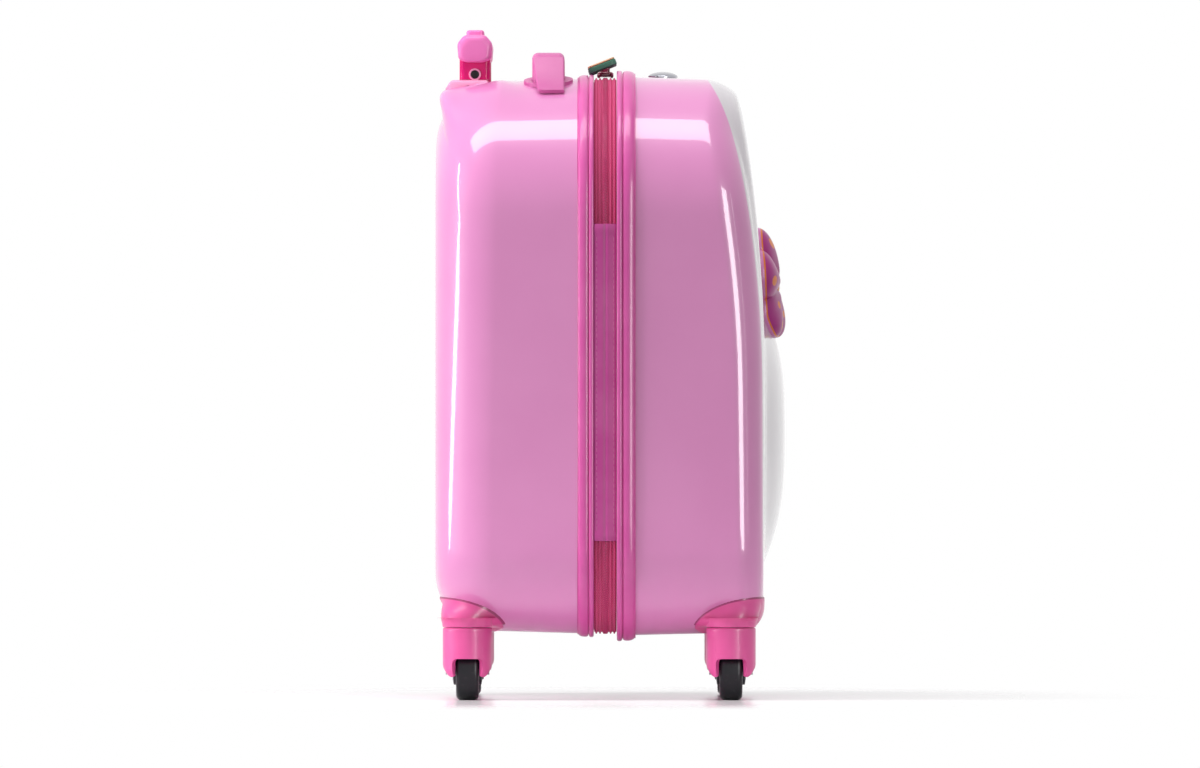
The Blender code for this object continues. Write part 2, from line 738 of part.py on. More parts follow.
def zip_half(mouth_x, outward):
    """Half of the zip: a woven tape with the coil along its edge, open at the hinge strip."""
    reach = ZIP_GAP / 2 - CLEARANCE / 2
    tape_top = -TAPE_SINK
    tape_low = tape_top - TAPE_THICKNESS
    coil = reach - COIL_WIDTH
    middle = (tape_top + tape_low) / 2
    crest = COIL_WIDTH / 4
    section = [(CLEARANCE, tape_low), (CLEARANCE, tape_top), (coil, tape_top),
               (coil + crest, middle + COIL_HEIGHT / 2), (reach - crest, middle + COIL_HEIGHT / 2),
               (reach, middle), (reach - crest, middle - COIL_HEIGHT / 2), (coil, tape_low)]
    return ring_of(section, case_outline()[:-1], 0.0, mouth_x, outward, False)


def hinge_strip():
    """The soft strip that joins the two rims on the hinge side."""
    y = -HALF_WIDTH
    edge = ZIP_GAP / 2 - CLEARANCE
    section = [(-edge, y - HINGE_THICKNESS), (-edge, y), (edge, y), (edge, y - HINGE_THICKNESS),
               (edge / 2, y - HINGE_THICKNESS - HINGE_CREST),
               (-edge / 2, y - HINGE_THICKNESS - HINGE_CREST)]
    gap = 4 * CLEARANCE
    rows = [[(SPLIT_X + x, depth, z) for x, depth in section]
            for z in (HINGE_BOTTOM + gap, HINGE_TOP - gap)]
    return loft(rows)


def slider(side):
    """A zip slider: a plate over the coil with a bridge for the pull."""
    y = side * SLIDER_REST_Y
    base = ZIP_TOP_Z + CLEARANCE
    plate = box((SPLIT_X - SLIDER_WIDTH / 2, y - SLIDER_LENGTH / 2, base),
                (SPLIT_X + SLIDER_WIDTH / 2, y + SLIDER_LENGTH / 2, base + SLIDER_HEIGHT))
    bridge = box((SPLIT_X - BRIDGE_WIDTH / 2, y - BRIDGE_LENGTH / 2, base + SLIDER_HEIGHT / 2),
                 (SPLIT_X + BRIDGE_WIDTH / 2, y + BRIDGE_LENGTH / 2,
                  base + SLIDER_HEIGHT + BRIDGE_HEIGHT))
    window = box((SPLIT_X - BRIDGE_WIDTH, y - BRIDGE_LENGTH / 2 + BRIDGE_BAR, base + SLIDER_HEIGHT),
                 (SPLIT_X + BRIDGE_WIDTH, y + BRIDGE_LENGTH / 2 - BRIDGE_BAR,
                  base + SLIDER_HEIGHT + BRIDGE_HEIGHT - BRIDGE_BAR))
    return shaped(plate, window, bevel=(SLIDER_BEVEL, 1), joins=[bridge])


def pull_pin(side):
    """Place of the pin that a pull turns on, in its slider's bridge."""
    height = ZIP_TOP_Z + CLEARANCE + SLIDER_HEIGHT + (BRIDGE_HEIGHT - BRIDGE_BAR) / 2
    return Vector((SPLIT_X, side * SLIDER_REST_Y, height))


def zip_pull(side):
    """A chunky soft pull with a loop whose pin runs under its slider's bridge."""
    pin = pull_pin(side)
    arm = BRIDGE_WIDTH / 2 + 2 * CLEARANCE
    reach = BRIDGE_LENGTH / 2 + PULL_LOOP
    centre = Vector((PULL_OFFSET_X, 0, ZIP_TOP_Z + PULL_LIFT - pin.z))
    tab = box((-PULL_WIDTH / 2, reach, -PULL_THICKNESS / 2),
              (PULL_WIDTH / 2, reach + PULL_LENGTH, PULL_THICKNESS / 2))
    tab = shaped(tab, bevel=(PULL_THICKNESS * 0.32, 2))
    tab.transform(Matrix.Translation(centre) @ Matrix.Rotation(-PULL_TILT, 4, "Y"))
    bar = rod(BRIDGE_BAR / 2, (-arm - PULL_ARM, 0, 0), (arm + PULL_ARM, 0, 0), PIN_SIDES)
    arms = [box((low, -PULL_ARM / 2, -PULL_ARM / 2),
                (low + PULL_ARM, reach + PULL_LOOP * 0.75, PULL_ARM / 2)) for low in (-arm - PULL_ARM, arm)]
    mesh = shaped(tab, joins=[*arms, bar])
    if side < 0:
        mesh = mirrored(mesh)
    return mesh


def housing(x, side, form, face_x):
    """A corner housing: a skin over the shell's lower corner that flares out of a round boss."""
    y = side * CASTER_Y
    edge_y = side * HALF_WIDTH
    across = HOUSING_REACH / HOUSING_RISE
    side_view = rod(HOUSING_RISE, (face_x, edge_y + side * HOUSING_REACH, SHELL_BOTTOM),
                    (face_x, edge_y - side * 2 * HOUSING_REACH_Y, SHELL_BOTTOM), CASTER_SIDES,
                    stretch=(across, 1.0))
    floor = SHELL_BOTTOM - 2 * HOUSING_SKIN
    plan_view = loft([round_box(face_x, edge_y, z) for z in (floor, SHELL_MIDDLE_Z)])
    region = common(side_view, plan_view)
    flare = loft([circle(x, y, SWIVEL_HEIGHT + rise, radius) for rise, radius in HOUSING_FLARE])
    clear = FORK_RADIUS + 4 * CLEARANCE
    undercut = loft([circle(x, y, SWIVEL_HEIGHT - CLEARANCE, clear),
                     circle(x, y, floor, clear + HOUSING_UNDERCUT * (SWIVEL_HEIGHT - floor))])
    skin = shaped(loft(form(skin=HOUSING_SKIN)), joins=[flare])
    skin = shaped(common(skin, region), loft(form(skin=CLEARANCE)), undercut)
    boss = rod(BOSS_RADIUS, (x, y, SWIVEL_HEIGHT), (x, y, SWIVEL_HEIGHT + BOSS_RISE - CLEARANCE),
               CASTER_SIDES)
    hole = rod(KINGPIN_RADIUS + CLEARANCE, (x, y, SWIVEL_HEIGHT - KINGPIN_DEPTH),
               (x, y, SWIVEL_HEIGHT + KINGPIN_REACH), PIN_SIDES)
    return shaped(skin, hole, joins=[boss])


def circle(x, y, z, radius):
    """Points of a level circle."""
    steps = [math.tau * (i + 0.5) / CASTER_SIDES for i in range(CASTER_SIDES)]
    return [(x + radius * math.cos(step), y + radius * math.sin(step), z) for step in steps]


def round_box(x, y, z):
    """Points of the level outline, between an ellipse and a box, that bounds a corner housing."""
    points = []
    for i in range(CASTER_SIDES):
        angle = math.tau * (i + 0.5) / CASTER_SIDES
        across, along = [math.copysign(abs(part) ** (2 / HOUSING_SQUARENESS), part)
                         for part in (math.cos(angle), math.sin(angle))]
        points.append((x + HOUSING_REACH * across, y + HOUSING_REACH_Y * along, z))
    return points


def fork():
    """A caster fork: a round hood that splits into two cheeks round the wheel.

    Its origin is on the swivel axis at floor level and the wheel trails to +Y.
    """
    top = SWIVEL_HEIGHT - CLEARANCE
    hood = rod(FORK_RADIUS, (0, 0, AXLE_HEIGHT), (0, 0, top), CASTER_SIDES)
    cheeks = rod(FORK_END_RADIUS, (-FORK_RADIUS, TRAIL, AXLE_HEIGHT),
                 (FORK_RADIUS, TRAIL, AXLE_HEIGHT), WHEEL_SIDES)
    web = box((-FORK_WEB_HALF, TRAIL - FORK_END_RADIUS, AXLE_HEIGHT),
              (FORK_WEB_HALF, TRAIL + FORK_END_RADIUS, AXLE_HEIGHT + FORK_WEB_RISE))
    slot = box((-FORK_SLOT_WIDTH / 2, -2 * FORK_RADIUS, -WHEEL_RADIUS),
               (FORK_SLOT_WIDTH / 2, 2 * FORK_RADIUS, FORK_SLOT_TOP))
    half = WHEEL_WIDTH / 2 + WHEEL_CLEARANCE / 2
    well = rod(WHEEL_RADIUS + WHEEL_CLEARANCE, (-half, TRAIL, AXLE_HEIGHT),
               (half, TRAIL, AXLE_HEIGHT), WHEEL_SIDES)
    bore = rod(AXLE_RADIUS + CLEARANCE, (-2 * FORK_RADIUS, TRAIL, AXLE_HEIGHT),
               (2 * FORK_RADIUS, TRAIL, AXLE_HEIGHT), PIN_SIDES)
    seat = rod(KINGPIN_RADIUS + CLEARANCE, (0, 0, top - KINGPIN_DEPTH), (0, 0, 2 * top), PIN_SIDES)
    return shaped(hood, slot, well, bore, seat, joins=[web, cheeks])


def kingpin():
    """The pin that a fork swivels on, from its floor-level origin on the swivel axis."""
    top = SWIVEL_HEIGHT + KINGPIN_REACH - CLEARANCE
    return rod(KINGPIN_RADIUS, (0, 0, SWIVEL_HEIGHT - KINGPIN_DEPTH), (0, 0, top), PIN_SIDES)


def tyre():
    """A solid tyre with a rounded tread, turned about X."""
    half = WHEEL_WIDTH / 2
    inner = WHEEL_RADIUS - TYRE_THICKNESS
    profile = [(inner, half), (WHEEL_RADIUS - TREAD_ROUND, half), (WHEEL_RADIUS, half - TREAD_ROUND),
               (WHEEL_RADIUS, TREAD_ROUND - half), (WHEEL_RADIUS - TREAD_ROUND, -half), (inner, -half)]
    return turned(profile, WHEEL_SIDES, "X")


def hub():
    """A wheel hub with raised faces and a bore for the axle, turned about X."""
    outer = WHEEL_RADIUS - TYRE_THICKNESS - CLEARANCE
    half = WHEEL_WIDTH / 2
    face = FORK_SLOT_WIDTH / 2 - CLEARANCE
    bore = AXLE_RADIUS + CLEARANCE
    profile = [(bore, face), (HUB_FACE_RADIUS, face), (HUB_FACE_RADIUS, half), (outer, half),
               (outer, -half), (HUB_FACE_RADIUS, -half), (HUB_FACE_RADIUS, -face), (bore, -face)]
    return turned(profile, HUB_SIDES, "X")


def tube(radius, low, high, side):
    """A round trolley tube, open at both ends."""
    inner = radius - TUBE_WALL
    mesh = turned([(radius, high), (radius, low), (inner, low), (inner, high)], TUBE_SIDES)
    mesh.transform(Matrix.Translation((TROLLEY_X, side * TROLLEY_Y, 0)))
    return mesh


def trolley_foot():
    """The bar inside the case that holds both outer tubes at their lower ends."""
    half = TROLLEY_Y + TROLLEY_FOOT_MARGIN
    block = box((BACK_X, -half, SHELL_BOTTOM),
                (FALSE_BACK_X - 2 * CLEARANCE, half, SHELL_BOTTOM + TROLLEY_FOOT_HEIGHT))
    inside = loft(rear_form(skin=-(SHELL_WALL + CLEARANCE)))
    sockets = [rod(OUTER_TUBE_RADIUS + CLEARANCE, (TROLLEY_X, side * TROLLEY_Y, TUBE_BOTTOM - CLEARANCE),
                   (TROLLEY_X, side * TROLLEY_Y, SHELL_MIDDLE_Z), TUBE_SIDES) for side in (-1, 1)]
    return shaped(common(block, inside), *sockets)


def trolley_bezel():
    """The saddle over the shell's top back edge, with a collar round each tube."""
    back, low = BACK_X + BEZEL_INSET, BEZEL_TOP - BEZEL_DROP
    section = [(back, low), (back, BEZEL_TOP - BEZEL_SLOPE), (back + BEZEL_SLOPE_DEPTH, BEZEL_TOP),
               (BACK_X + BEZEL_FRONT, BEZEL_TOP), (BACK_X + BEZEL_FRONT, low)]
    saddle = loft([[(x, side * BEZEL_WIDTH_Y / 2, z) for x, z in section] for side in (-1, 1)])
    saddle = shaped(saddle, loft(rear_form(skin=CLEARANCE)), shoulder(CLEARANCE), bevel=(BEZEL_ROUND, 2))
    collars, holes = [], []
    for side in (-1, 1):
        y = side * TROLLEY_Y
        collars.append(rod(COLLAR_RADIUS, (TROLLEY_X, y, BEZEL_TOP - COLLAR_DROP),
                           (TROLLEY_X, y, BEZEL_TOP - RIM_STEP), 24))
        holes.append(rod(MID_TUBE_RADIUS + CLEARANCE, (TROLLEY_X, y, SHELL_MIDDLE_Z),
                         (TROLLEY_X, y, GRIP_TOP), TUBE_SIDES))
        holes.append(rod(OUTER_TUBE_RADIUS + CLEARANCE, (TROLLEY_X, y, SHELL_MIDDLE_Z),
                         (TROLLEY_X, y, TUBE_TOP + CLEARANCE), TUBE_SIDES))
    return shaped(saddle, *holes, joins=collars)


def trolley_grip():
    """The grip bar with two legs, hollow where the inner tubes and the button sit."""
    half_x, half_y = GRIP_WIDTH_X / 2, GRIP_LENGTH_Y / 2
    low = GRIP_TOP - GRIP_HEIGHT
    bar = shaped(box((TROLLEY_X - half_x, -half_y, low), (TROLLEY_X + half_x, half_y, GRIP_TOP)),
                 bevel=(GRIP_ROUND, 3))
    leg_low = BEZEL_TOP + CLEARANCE
    legs, holes = [], []
    for side in (-1, 1):
        y = side * TROLLEY_Y
        legs.append(box((TROLLEY_X - GRIP_LEG_X / 2, y - GRIP_LEG_Y / 2, leg_low),
                        (TROLLEY_X + GRIP_LEG_X / 2, y + GRIP_LEG_Y / 2, low + GRIP_ROUND)))
        holes.append(rod(INNER_TUBE_RADIUS + CLEARANCE, (TROLLEY_X, y, SHELL_MIDDLE_Z),
                         (TROLLEY_X, y, low + GRIP_SOCKET_DEPTH), TUBE_SIDES))
        holes.append(lock_pin(side, CLEARANCE))
    scallop = rod(GRIP_SCALLOP, (BACK_X, 0, low), (CARRY_X, 0, low), 24,
                  stretch=(1.0, (TROLLEY_Y - GRIP_LEG_Y / 2) / GRIP_SCALLOP))
    well = release_button(CLEARANCE, BUTTON_TRAVEL)
    return shaped(bar, scallop, well, *holes, joins=legs)


def release_button(margin=0.0, travel=0.0):
    """The button in the grip's top, or its well where a margin and a travel are given."""
    half_x, half_y = BUTTON_WIDTH_X / 2 + margin, BUTTON_LENGTH_Y / 2 + margin
    top = GRIP_TOP + BUTTON_PROUD * (2 if margin else 1)
    mesh = box((TROLLEY_X - half_x, -half_y, GRIP_TOP - BUTTON_DEPTH - margin - travel),
               (TROLLEY_X + half_x, half_y, top))
    return mesh if margin else shaped(mesh, bevel=(BUTTON_BEVEL, 2))


def lock_pin(side, margin=0.0):
    """The round pin that holds a leg of the grip on its inner tube."""
    start = side * (TROLLEY_Y + GRIP_LEG_Y / 2 + LOCK_PIN_PROUD * (2 if margin else 1))
    end = side * (TROLLEY_Y + INNER_TUBE_RADIUS + CLEARANCE - margin / 2)
    return rod(LOCK_PIN_RADIUS + margin, (TROLLEY_X, start, LOCK_PIN_HEIGHT),
               (TROLLEY_X, end, LOCK_PIN_HEIGHT), 16)


def carry_post(side, margin, low, high):
    """The space that one end of the carry handle takes between two heights."""
    y = side * CARRY_SPAN_Y / 2
    half_x, half_y = CARRY_WIDTH_X / 2 + margin, CARRY_THICKNESS / 2 + margin
    return box((CARRY_X - half_x, y - half_y, low), (CARRY_X + half_x, y + half_y, high))


def carry_collar(side, margin=0.0):
    """The sleeve of a carry handle plate that passes through the shell."""
    sleeve = 2 * CLEARANCE + CARRY_SLEEVE + margin
    return carry_post(side, sleeve, carry_low() + 4 * CLEARANCE, CARRY_TOP)


def carry_low():
    """Height of the lower ends of the carry handle."""
    return SHELL_TOP - CARRY_POST_DROP


def carry_plate(side):
    """An oval plate on the shell's top round one end of the carry handle."""
    y = side * CARRY_SPAN_Y / 2
    disc = rod(CARRY_PLATE_X / 2, (CARRY_X, y, SHELL_MIDDLE_Z), (CARRY_X, y, CARRY_TOP), 32,
               stretch=(1.0, CARRY_PLATE_Y / CARRY_PLATE_X))
    plate = common(loft(rear_form(skin=CARRY_PLATE_SKIN)), disc)
    plate = shaped(plate, loft(rear_form(skin=CLEARANCE)))
    sleeve = carry_collar(side)
    sleeve = common(sleeve, loft(rear_form(skin=CARRY_PLATE_SKIN * 0.8)))
    slot = carry_post(side, CLEARANCE, SHELL_MIDDLE_Z, GRIP_TOP)
    return shaped(plate, slot, joins=[sleeve])


def carry_handle():
    """A flat arched handle whose ends turn down into their plates."""
    half_span = CARRY_SPAN_Y / 2
    middle = CARRY_TOP - CARRY_THICKNESS / 2
    path = [(-half_span, carry_low(), -1.0, 0.0)]
    path += arc((-half_span + CARRY_BEND, middle - CARRY_BEND), CARRY_BEND, 180, 90, ARC_STEPS)
    path += arc((half_span - CARRY_BEND, middle - CARRY_BEND), CARRY_BEND, 90, 0, ARC_STEPS)
    path += [(half_span, carry_low(), 1.0, 0.0)]
    half_x, half_t = CARRY_WIDTH_X / 2, CARRY_THICKNESS / 2
    soft = CARRY_THICKNESS * 0.3
    section = [(half_x, soft - half_t), (half_x, half_t - soft), (half_x - soft, half_t),
               (soft - half_x, half_t), (-half_x, half_t - soft), (-half_x, soft - half_t),
               (soft - half_x, -half_t), (half_x - soft, -half_t)]
    rings = [[(CARRY_X + across, y + normal_y * rise, z + normal_z * rise) for across, rise in section]
             for y, z, normal_y, normal_z in path]
    return loft(rings)


def lining(mouth_x, face_x, grow):
    """The fabric lining of one half of the case."""
    gap = SHELL_WALL + LINING_GAP
    rings = bowl(mouth_x, lambda z: face_x, lambda z: LINING_EDGE_RADIUS, grow=grow - gap,
                 steps=LINING_EDGE_STEPS,
                 outline=case_outline(LINING_HEADROOM, LINING_BOTTOM_RADIUS, LINING_ARC_STEPS))
    outward = math.copysign(1.0, face_x - mouth_x)
    surface = facing(loft(rings, start="open"), (face_x, 0, SHELL_MIDDLE_Z), (outward, 0, 0))
    return hollowed(surface, LINING_THICKNESS)


def strap(side):
    """A webbing strap from the lining's side wall to the buckle."""
    slope = STRAP_DEPTH / (REAR_MOUTH_X - FALSE_BACK_X - LINING_EDGE_RADIUS)
    start = side * (HALF_WIDTH - SHELL_WALL - LINING_GAP - LINING_THICKNESS - CLEARANCE
                    - SHELL_DRAFT * slope)
    x = REAR_MOUTH_X - STRAP_DEPTH
    low, high = sorted((start, side * (BUCKLE_LENGTH / 2 + CLEARANCE)))
    return box((x, low, STRAP_Z - STRAP_WIDTH / 2), (x + STRAP_THICKNESS, high,
                                                    STRAP_Z + STRAP_WIDTH / 2))


def lid_pocket(face_x):
    """A flat mesh pocket sewn on the lid's lining, its corners rounded."""
    front = face_x - LINING_THICKNESS - CLEARANCE
    half, turn = POCKET_WIDTH / 2, POCKET_ROUND
    outline = arc((half - turn, POCKET_BOTTOM + turn), turn, -90, 0, LINING_ARC_STEPS)
    outline += arc((half - turn, POCKET_TOP - turn), turn, 0, 90, LINING_ARC_STEPS)
    outline += arc((turn - half, POCKET_TOP - turn), turn, 90, 180, LINING_ARC_STEPS)
    outline += arc((turn - half, POCKET_BOTTOM + turn), turn, 180, 270, LINING_ARC_STEPS)
    return loft([[(x, y, z) for y, z, _, _ in outline] for x in (front - POCKET_THICKNESS, front)])


def buckle():
    """The side-release buckle in the middle of the straps."""
    x = REAR_MOUTH_X - STRAP_DEPTH + STRAP_THICKNESS / 2
    body = box((x - BUCKLE_THICKNESS / 2, -BUCKLE_LENGTH / 2, STRAP_Z - BUCKLE_WIDTH / 2),
               (x + BUCKLE_THICKNESS / 2, BUCKLE_LENGTH / 2, STRAP_Z + BUCKLE_WIDTH / 2))
    return shaped(body, bevel=(BUCKLE_BEVEL, 2))


def build():
    """Make every sub-part and hang it on the body that carries it."""
    gloss_pink = finish("gloss pink shell", SHELL_PINK, 0.12)
    rim_pink = finish("rim pink", RIM_PINK, 0.35)
    zip_pink = finish("zip pink", ZIP_PINK, 0.75)
    strip_pink = finish("hinge strip pink", HINGE_PINK, 0.55)
    caster_pink = finish("caster pink", CASTER_PINK, 0.35)
    grip_pink = finish("grip pink", GRIP_PINK, 0.35)
    bezel_pink = finish("bezel pink", BEZEL_PINK, 0.35)
    handle_pink = finish("carry handle pink", HANDLE_PINK, 0.40)
    pull_green = finish("pull green", PULL_GREEN, 0.50)
    lining_pink = finish("lining pink", LINING_PINK, 0.90)
    charcoal = finish("charcoal plastic", CHARCOAL, 0.40)
    tyre_black = finish("tyre black", CHARCOAL, 0.60)
    tube_grey = finish("tube aluminium", TUBE_GREY, 0.30, 1.0)
    steel = finish("steel", STEEL_GREY, 0.35, 1.0)

    lid = pivot("lid_hinge", HINGE_AXIS)

    add_part("rear_shell", rear_shell(), gloss_pink)
    add_part("front_shell", front_shell(), gloss_pink, lid)
    add_part("rear_rim", rim(REAR_RIM_X, REAR_RIM_DEPTH, REAR_RIM_PROUD, -1, 0.0), rim_pink)
    add_part("front_rim", rim(FRONT_RIM_X, FRONT_RIM_DEPTH, FRONT_RIM_PROUD, 1, LID_OVERSIZE),
             rim_pink, lid)
    add_part("rear_zip_tape", zip_half(REAR_RIM_X, 1), zip_pink)
    add_part("front_zip_tape", zip_half(FRONT_RIM_X, -1), zip_pink, lid)
    add_part("hinge_strip", hinge_strip(), strip_pink)

    fork_mesh, kingpin_mesh, tyre_mesh, hub_mesh = fork(), kingpin(), tyre(), hub()
    axle_half = FORK_RADIUS * AXLE_SHARE
    axle_mesh = rod(AXLE_RADIUS, (-axle_half, 0, 0), (axle_half, 0, 0), PIN_SIDES)
    rear_housing = housing(REAR_CASTER_X, 1, rear_form, BACK_X)
    front_housing = housing(FRONT_CASTER_X, 1, front_form, FRONT_X)
    corners = [("rear", REAR_CASTER_X, rear_housing, None), ("front", FRONT_CASTER_X, front_housing, lid)]
    for end, x, mesh, parent in corners:
        for place, side in (("near", -1), ("far", 1)):
            tag = f"{end}_{place}"
            side_mesh = mirrored(mesh) if side < 0 else mesh.copy()
            add_part(f"corner_housing_{tag}", side_mesh, caster_pink, parent)
            foot = Vector((x, side * CASTER_Y, 0))
            add_copy(f"kingpin_{tag}", kingpin_mesh, steel, foot, parent)
            swivel = add_copy(f"fork_{tag}", fork_mesh, caster_pink, foot, parent)
            axis = foot + Vector((0, TRAIL, AXLE_HEIGHT))
            add_copy(f"axle_{tag}", axle_mesh, steel, axis, swivel)
            add_copy(f"hub_{tag}", hub_mesh, charcoal, axis, swivel)
            add_copy(f"tyre_{tag}", tyre_mesh, tyre_black, axis, swivel)

    add_part("trolley_foot", trolley_foot(), charcoal)
    add_part("trolley_bezel", trolley_bezel(), bezel_pink)
    rail = (TROLLEY_X, 0, TUBE_TOP)
    first_stage = pivot("trolley_first_stage", rail)
    second_stage = pivot("trolley_second_stage", rail, first_stage)
    for place, side in (("near", -1), ("far", 1)):
        add_part(f"outer_tube_{place}", tube(OUTER_TUBE_RADIUS, TUBE_BOTTOM, TUBE_TOP, side), tube_grey)
        add_part(f"mid_tube_{place}",
                 tube(MID_TUBE_RADIUS, TUBE_BOTTOM + TUBE_STEP_DOWN, BEZEL_TOP - CLEARANCE, side),
                 tube_grey, first_stage)
        add_part(f"inner_tube_{place}",
                 tube(INNER_TUBE_RADIUS, TUBE_BOTTOM + 2 * TUBE_STEP_DOWN,
                      GRIP_TOP - GRIP_HEIGHT + GRIP_SOCKET_DEPTH - CLEARANCE, side),
                 tube_grey, second_stage)
        add_part(f"lock_pin_{place}", lock_pin(side), charcoal, second_stage)
    grip = add_part("trolley_grip", trolley_grip(), grip_pink, second_stage)
    add_part("release_button", release_button(), grip_pink, grip, (TROLLEY_X, 0, GRIP_TOP))

    handle_lift = pivot("carry_handle_lift", (CARRY_X, 0, CARRY_TOP))
    add_part("carry_handle", carry_handle(), handle_pink, handle_lift)
    for place, side in (("near", -1), ("far", 1)):
        add_part(f"carry_plate_{place}", carry_plate(side), handle_pink)

        slide = pivot(f"zip_slide_{place}", (SPLIT_X, side * SLIDER_REST_Y, ZIP_TOP_Z))
        runner = add_part(f"zip_slider_{place}", slider(side), zip_pink, slide)
        add_copy(f"zip_pull_{place}", zip_pull(side), pull_green, pull_pin(side), runner)

        add_part(f"packing_strap_{place}", strap(side), lining_pink)
    add_part("strap_buckle", buckle(), charcoal)
    add_part("rear_lining", lining(REAR_MOUTH_X, FALSE_BACK_X, 0.0), lining_pink)
    lid_face = FRONT_X - EDGE_LEAN - SHELL_WALL - LINING_GAP
    add_part("front_lining", lining(FRONT_MOUTH_X, lid_face, LID_OVERSIZE), lining_pink, lid)
    add_part("lid_pocket", lid_pocket(lid_face), lining_pink, lid)


build()
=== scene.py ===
"""A child's hard-shell suitcase on four swivelling wheels, finished round its CAD frame.

Metres throughout. +X points out of the lid's front, +Y runs from the hinge side
to the zip side, and +Z is up.
"""

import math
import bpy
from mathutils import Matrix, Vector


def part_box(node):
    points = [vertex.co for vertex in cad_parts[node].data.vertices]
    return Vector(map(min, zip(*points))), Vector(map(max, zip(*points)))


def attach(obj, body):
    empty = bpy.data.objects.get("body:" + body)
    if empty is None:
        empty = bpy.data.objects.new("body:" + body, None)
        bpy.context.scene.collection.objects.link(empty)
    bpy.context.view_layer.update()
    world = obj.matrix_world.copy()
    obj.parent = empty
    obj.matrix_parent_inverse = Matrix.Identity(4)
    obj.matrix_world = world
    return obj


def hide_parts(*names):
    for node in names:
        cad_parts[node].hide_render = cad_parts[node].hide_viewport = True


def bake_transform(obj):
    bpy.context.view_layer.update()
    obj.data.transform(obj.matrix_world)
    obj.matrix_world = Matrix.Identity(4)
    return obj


bl_info = {
    "name": "Kids suitcase",
    "version": (1, 0, 0),
    "blender": (4, 5, 0),
    "location": "View3D > Sidebar > Suitcase",
    "description": "Finishes a child's hard-shell suitcase round its CAD frame",
    "category": "Object",
}

from types import SimpleNamespace

import bmesh
import bpy
import numpy as np
from bpy.props import FloatProperty, FloatVectorProperty, IntProperty, PointerProperty
from mathutils import Matrix, Vector

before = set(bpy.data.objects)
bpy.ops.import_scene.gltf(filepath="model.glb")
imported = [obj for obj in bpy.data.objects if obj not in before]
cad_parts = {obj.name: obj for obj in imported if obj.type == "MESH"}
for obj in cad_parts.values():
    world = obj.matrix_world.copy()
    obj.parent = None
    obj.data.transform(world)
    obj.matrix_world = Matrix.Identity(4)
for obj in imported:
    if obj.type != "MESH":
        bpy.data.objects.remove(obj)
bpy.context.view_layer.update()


def corners(node):
    """Lowest and highest corner of a CAD node as arrays."""
    low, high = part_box(node)
    return np.array(low), np.array(high)


REAR_LOW, REAR_HIGH = corners("rear_shell")
FRONT_LOW, FRONT_HIGH = corners("front_shell")
REAR_RIM_MOUTH_X = corners("rear_rim")[1][0]
FRONT_RIM_MOUTH_X = corners("front_rim")[0][0]

# Case, as in the CAD
BACK_X = REAR_LOW[0]
REAR_MOUTH_X = REAR_HIGH[0]
FRONT_MOUTH_X = FRONT_LOW[0]
SPLIT_X = BACK_X + 0.119
FRONT_X = SPLIT_X + 0.1105
SHELL_BOTTOM, SHELL_TOP = REAR_LOW[2], REAR_HIGH[2]
HALF_WIDTH = REAR_HIGH[1]
MIDDLE_Z = (SHELL_BOTTOM + SHELL_TOP) / 2
SHELL_WALL = 0.0025
SHELL_DRAFT = 0.002
TOP_CROWN = 0.007
TOP_CORNER = 0.090
BOTTOM_CORNER = 0.060
REAR_EDGE_LOW, REAR_EDGE_HIGH = 0.040, 0.046
FRONT_EDGE_LOW, FRONT_EDGE_HIGH = 0.019, 0.026
FRONT_STEP_START, FRONT_STEP_RUN, FRONT_STEP_CUT = SHELL_TOP - 0.036, 0.034, 0.013
LID_OVERSIZE = 0.0013
LEAN_START = SHELL_BOTTOM + 0.169
EDGE_LEAN = 0.027
CENTRE_LEAN = 0.020
FRONT_CROWN = 0.0017
PANEL_BOTTOM = SHELL_BOTTOM + 0.044
PANEL_TOP = SHELL_TOP + 0.001
PANEL_HALF = HALF_WIDTH - 0.027
DOME_HEIGHT = 0.0145
DOME_Z = SHELL_BOTTOM + 0.141
DOME_HALF = np.array((0.108, 0.095))
FLOWER_PLACE = np.array((-0.024, DOME_Z + 0.103))
FLOWER_RADIUS = 0.041
FLOWER_HEIGHT = 0.0140
PETAL_ROOT = 0.74
HINGE_LOW, HINGE_HIGH = corners("hinge_strip")
CLEAR = 0.0003

# Platform that carries the bezel: its section as (depth, rise) from the back and the
# bezel's top, the line that it swells from, and where it fades and starts to fall
BEZEL_TOP = corners("trolley_bezel")[1][2]
SHOULDER = ((0.0044, -0.0245), (0.0036, -0.0185), (0.0022, -0.0128), (0.0034, -0.0084),
            (0.0075, -0.0058), (0.0150, -0.0051), (0.0237, -0.0033), (0.0375, -0.0008),
            (0.0525, 0.0004))
SHOULDER_AXIS = np.array((BACK_X + 0.034, BEZEL_TOP - 0.034))
SHOULDER_END, SHOULDER_FADE = 0.124, 0.040
SHOULDER_LEVEL = 0.0033
SHOULDER_BLEND = 0.0004

# Casters, as in the CAD
CORNERS = [f"{end}_{place}" for end in ("rear", "front") for place in ("near", "far")]
SWIVEL_Y = 0.125
HOUSING_SKIN = 0.0009
HOUSING_SINK = 0.0015
HOUSING_REACH = np.array((0.0506, 0.070, 0.0256))
FLARE = ((0.0, 0.0173), (0.0065, 0.0186), (0.0130, 0.0202), (0.0230, 0.0212))
FORK_CLEAR = 0.0185


def swivel_axis(corner):
    low, high = corners(f"fork_{corner}")
    return (low[0] + high[0]) / 2, math.copysign(SWIVEL_Y, low[1])


SWIVEL_Z = corners("fork_rear_near")[1][2] + CLEAR
REAR_AXES = [swivel_axis("rear_near"), swivel_axis("rear_far")]
FRONT_AXES = [swivel_axis("front_near"), swivel_axis("front_far")]

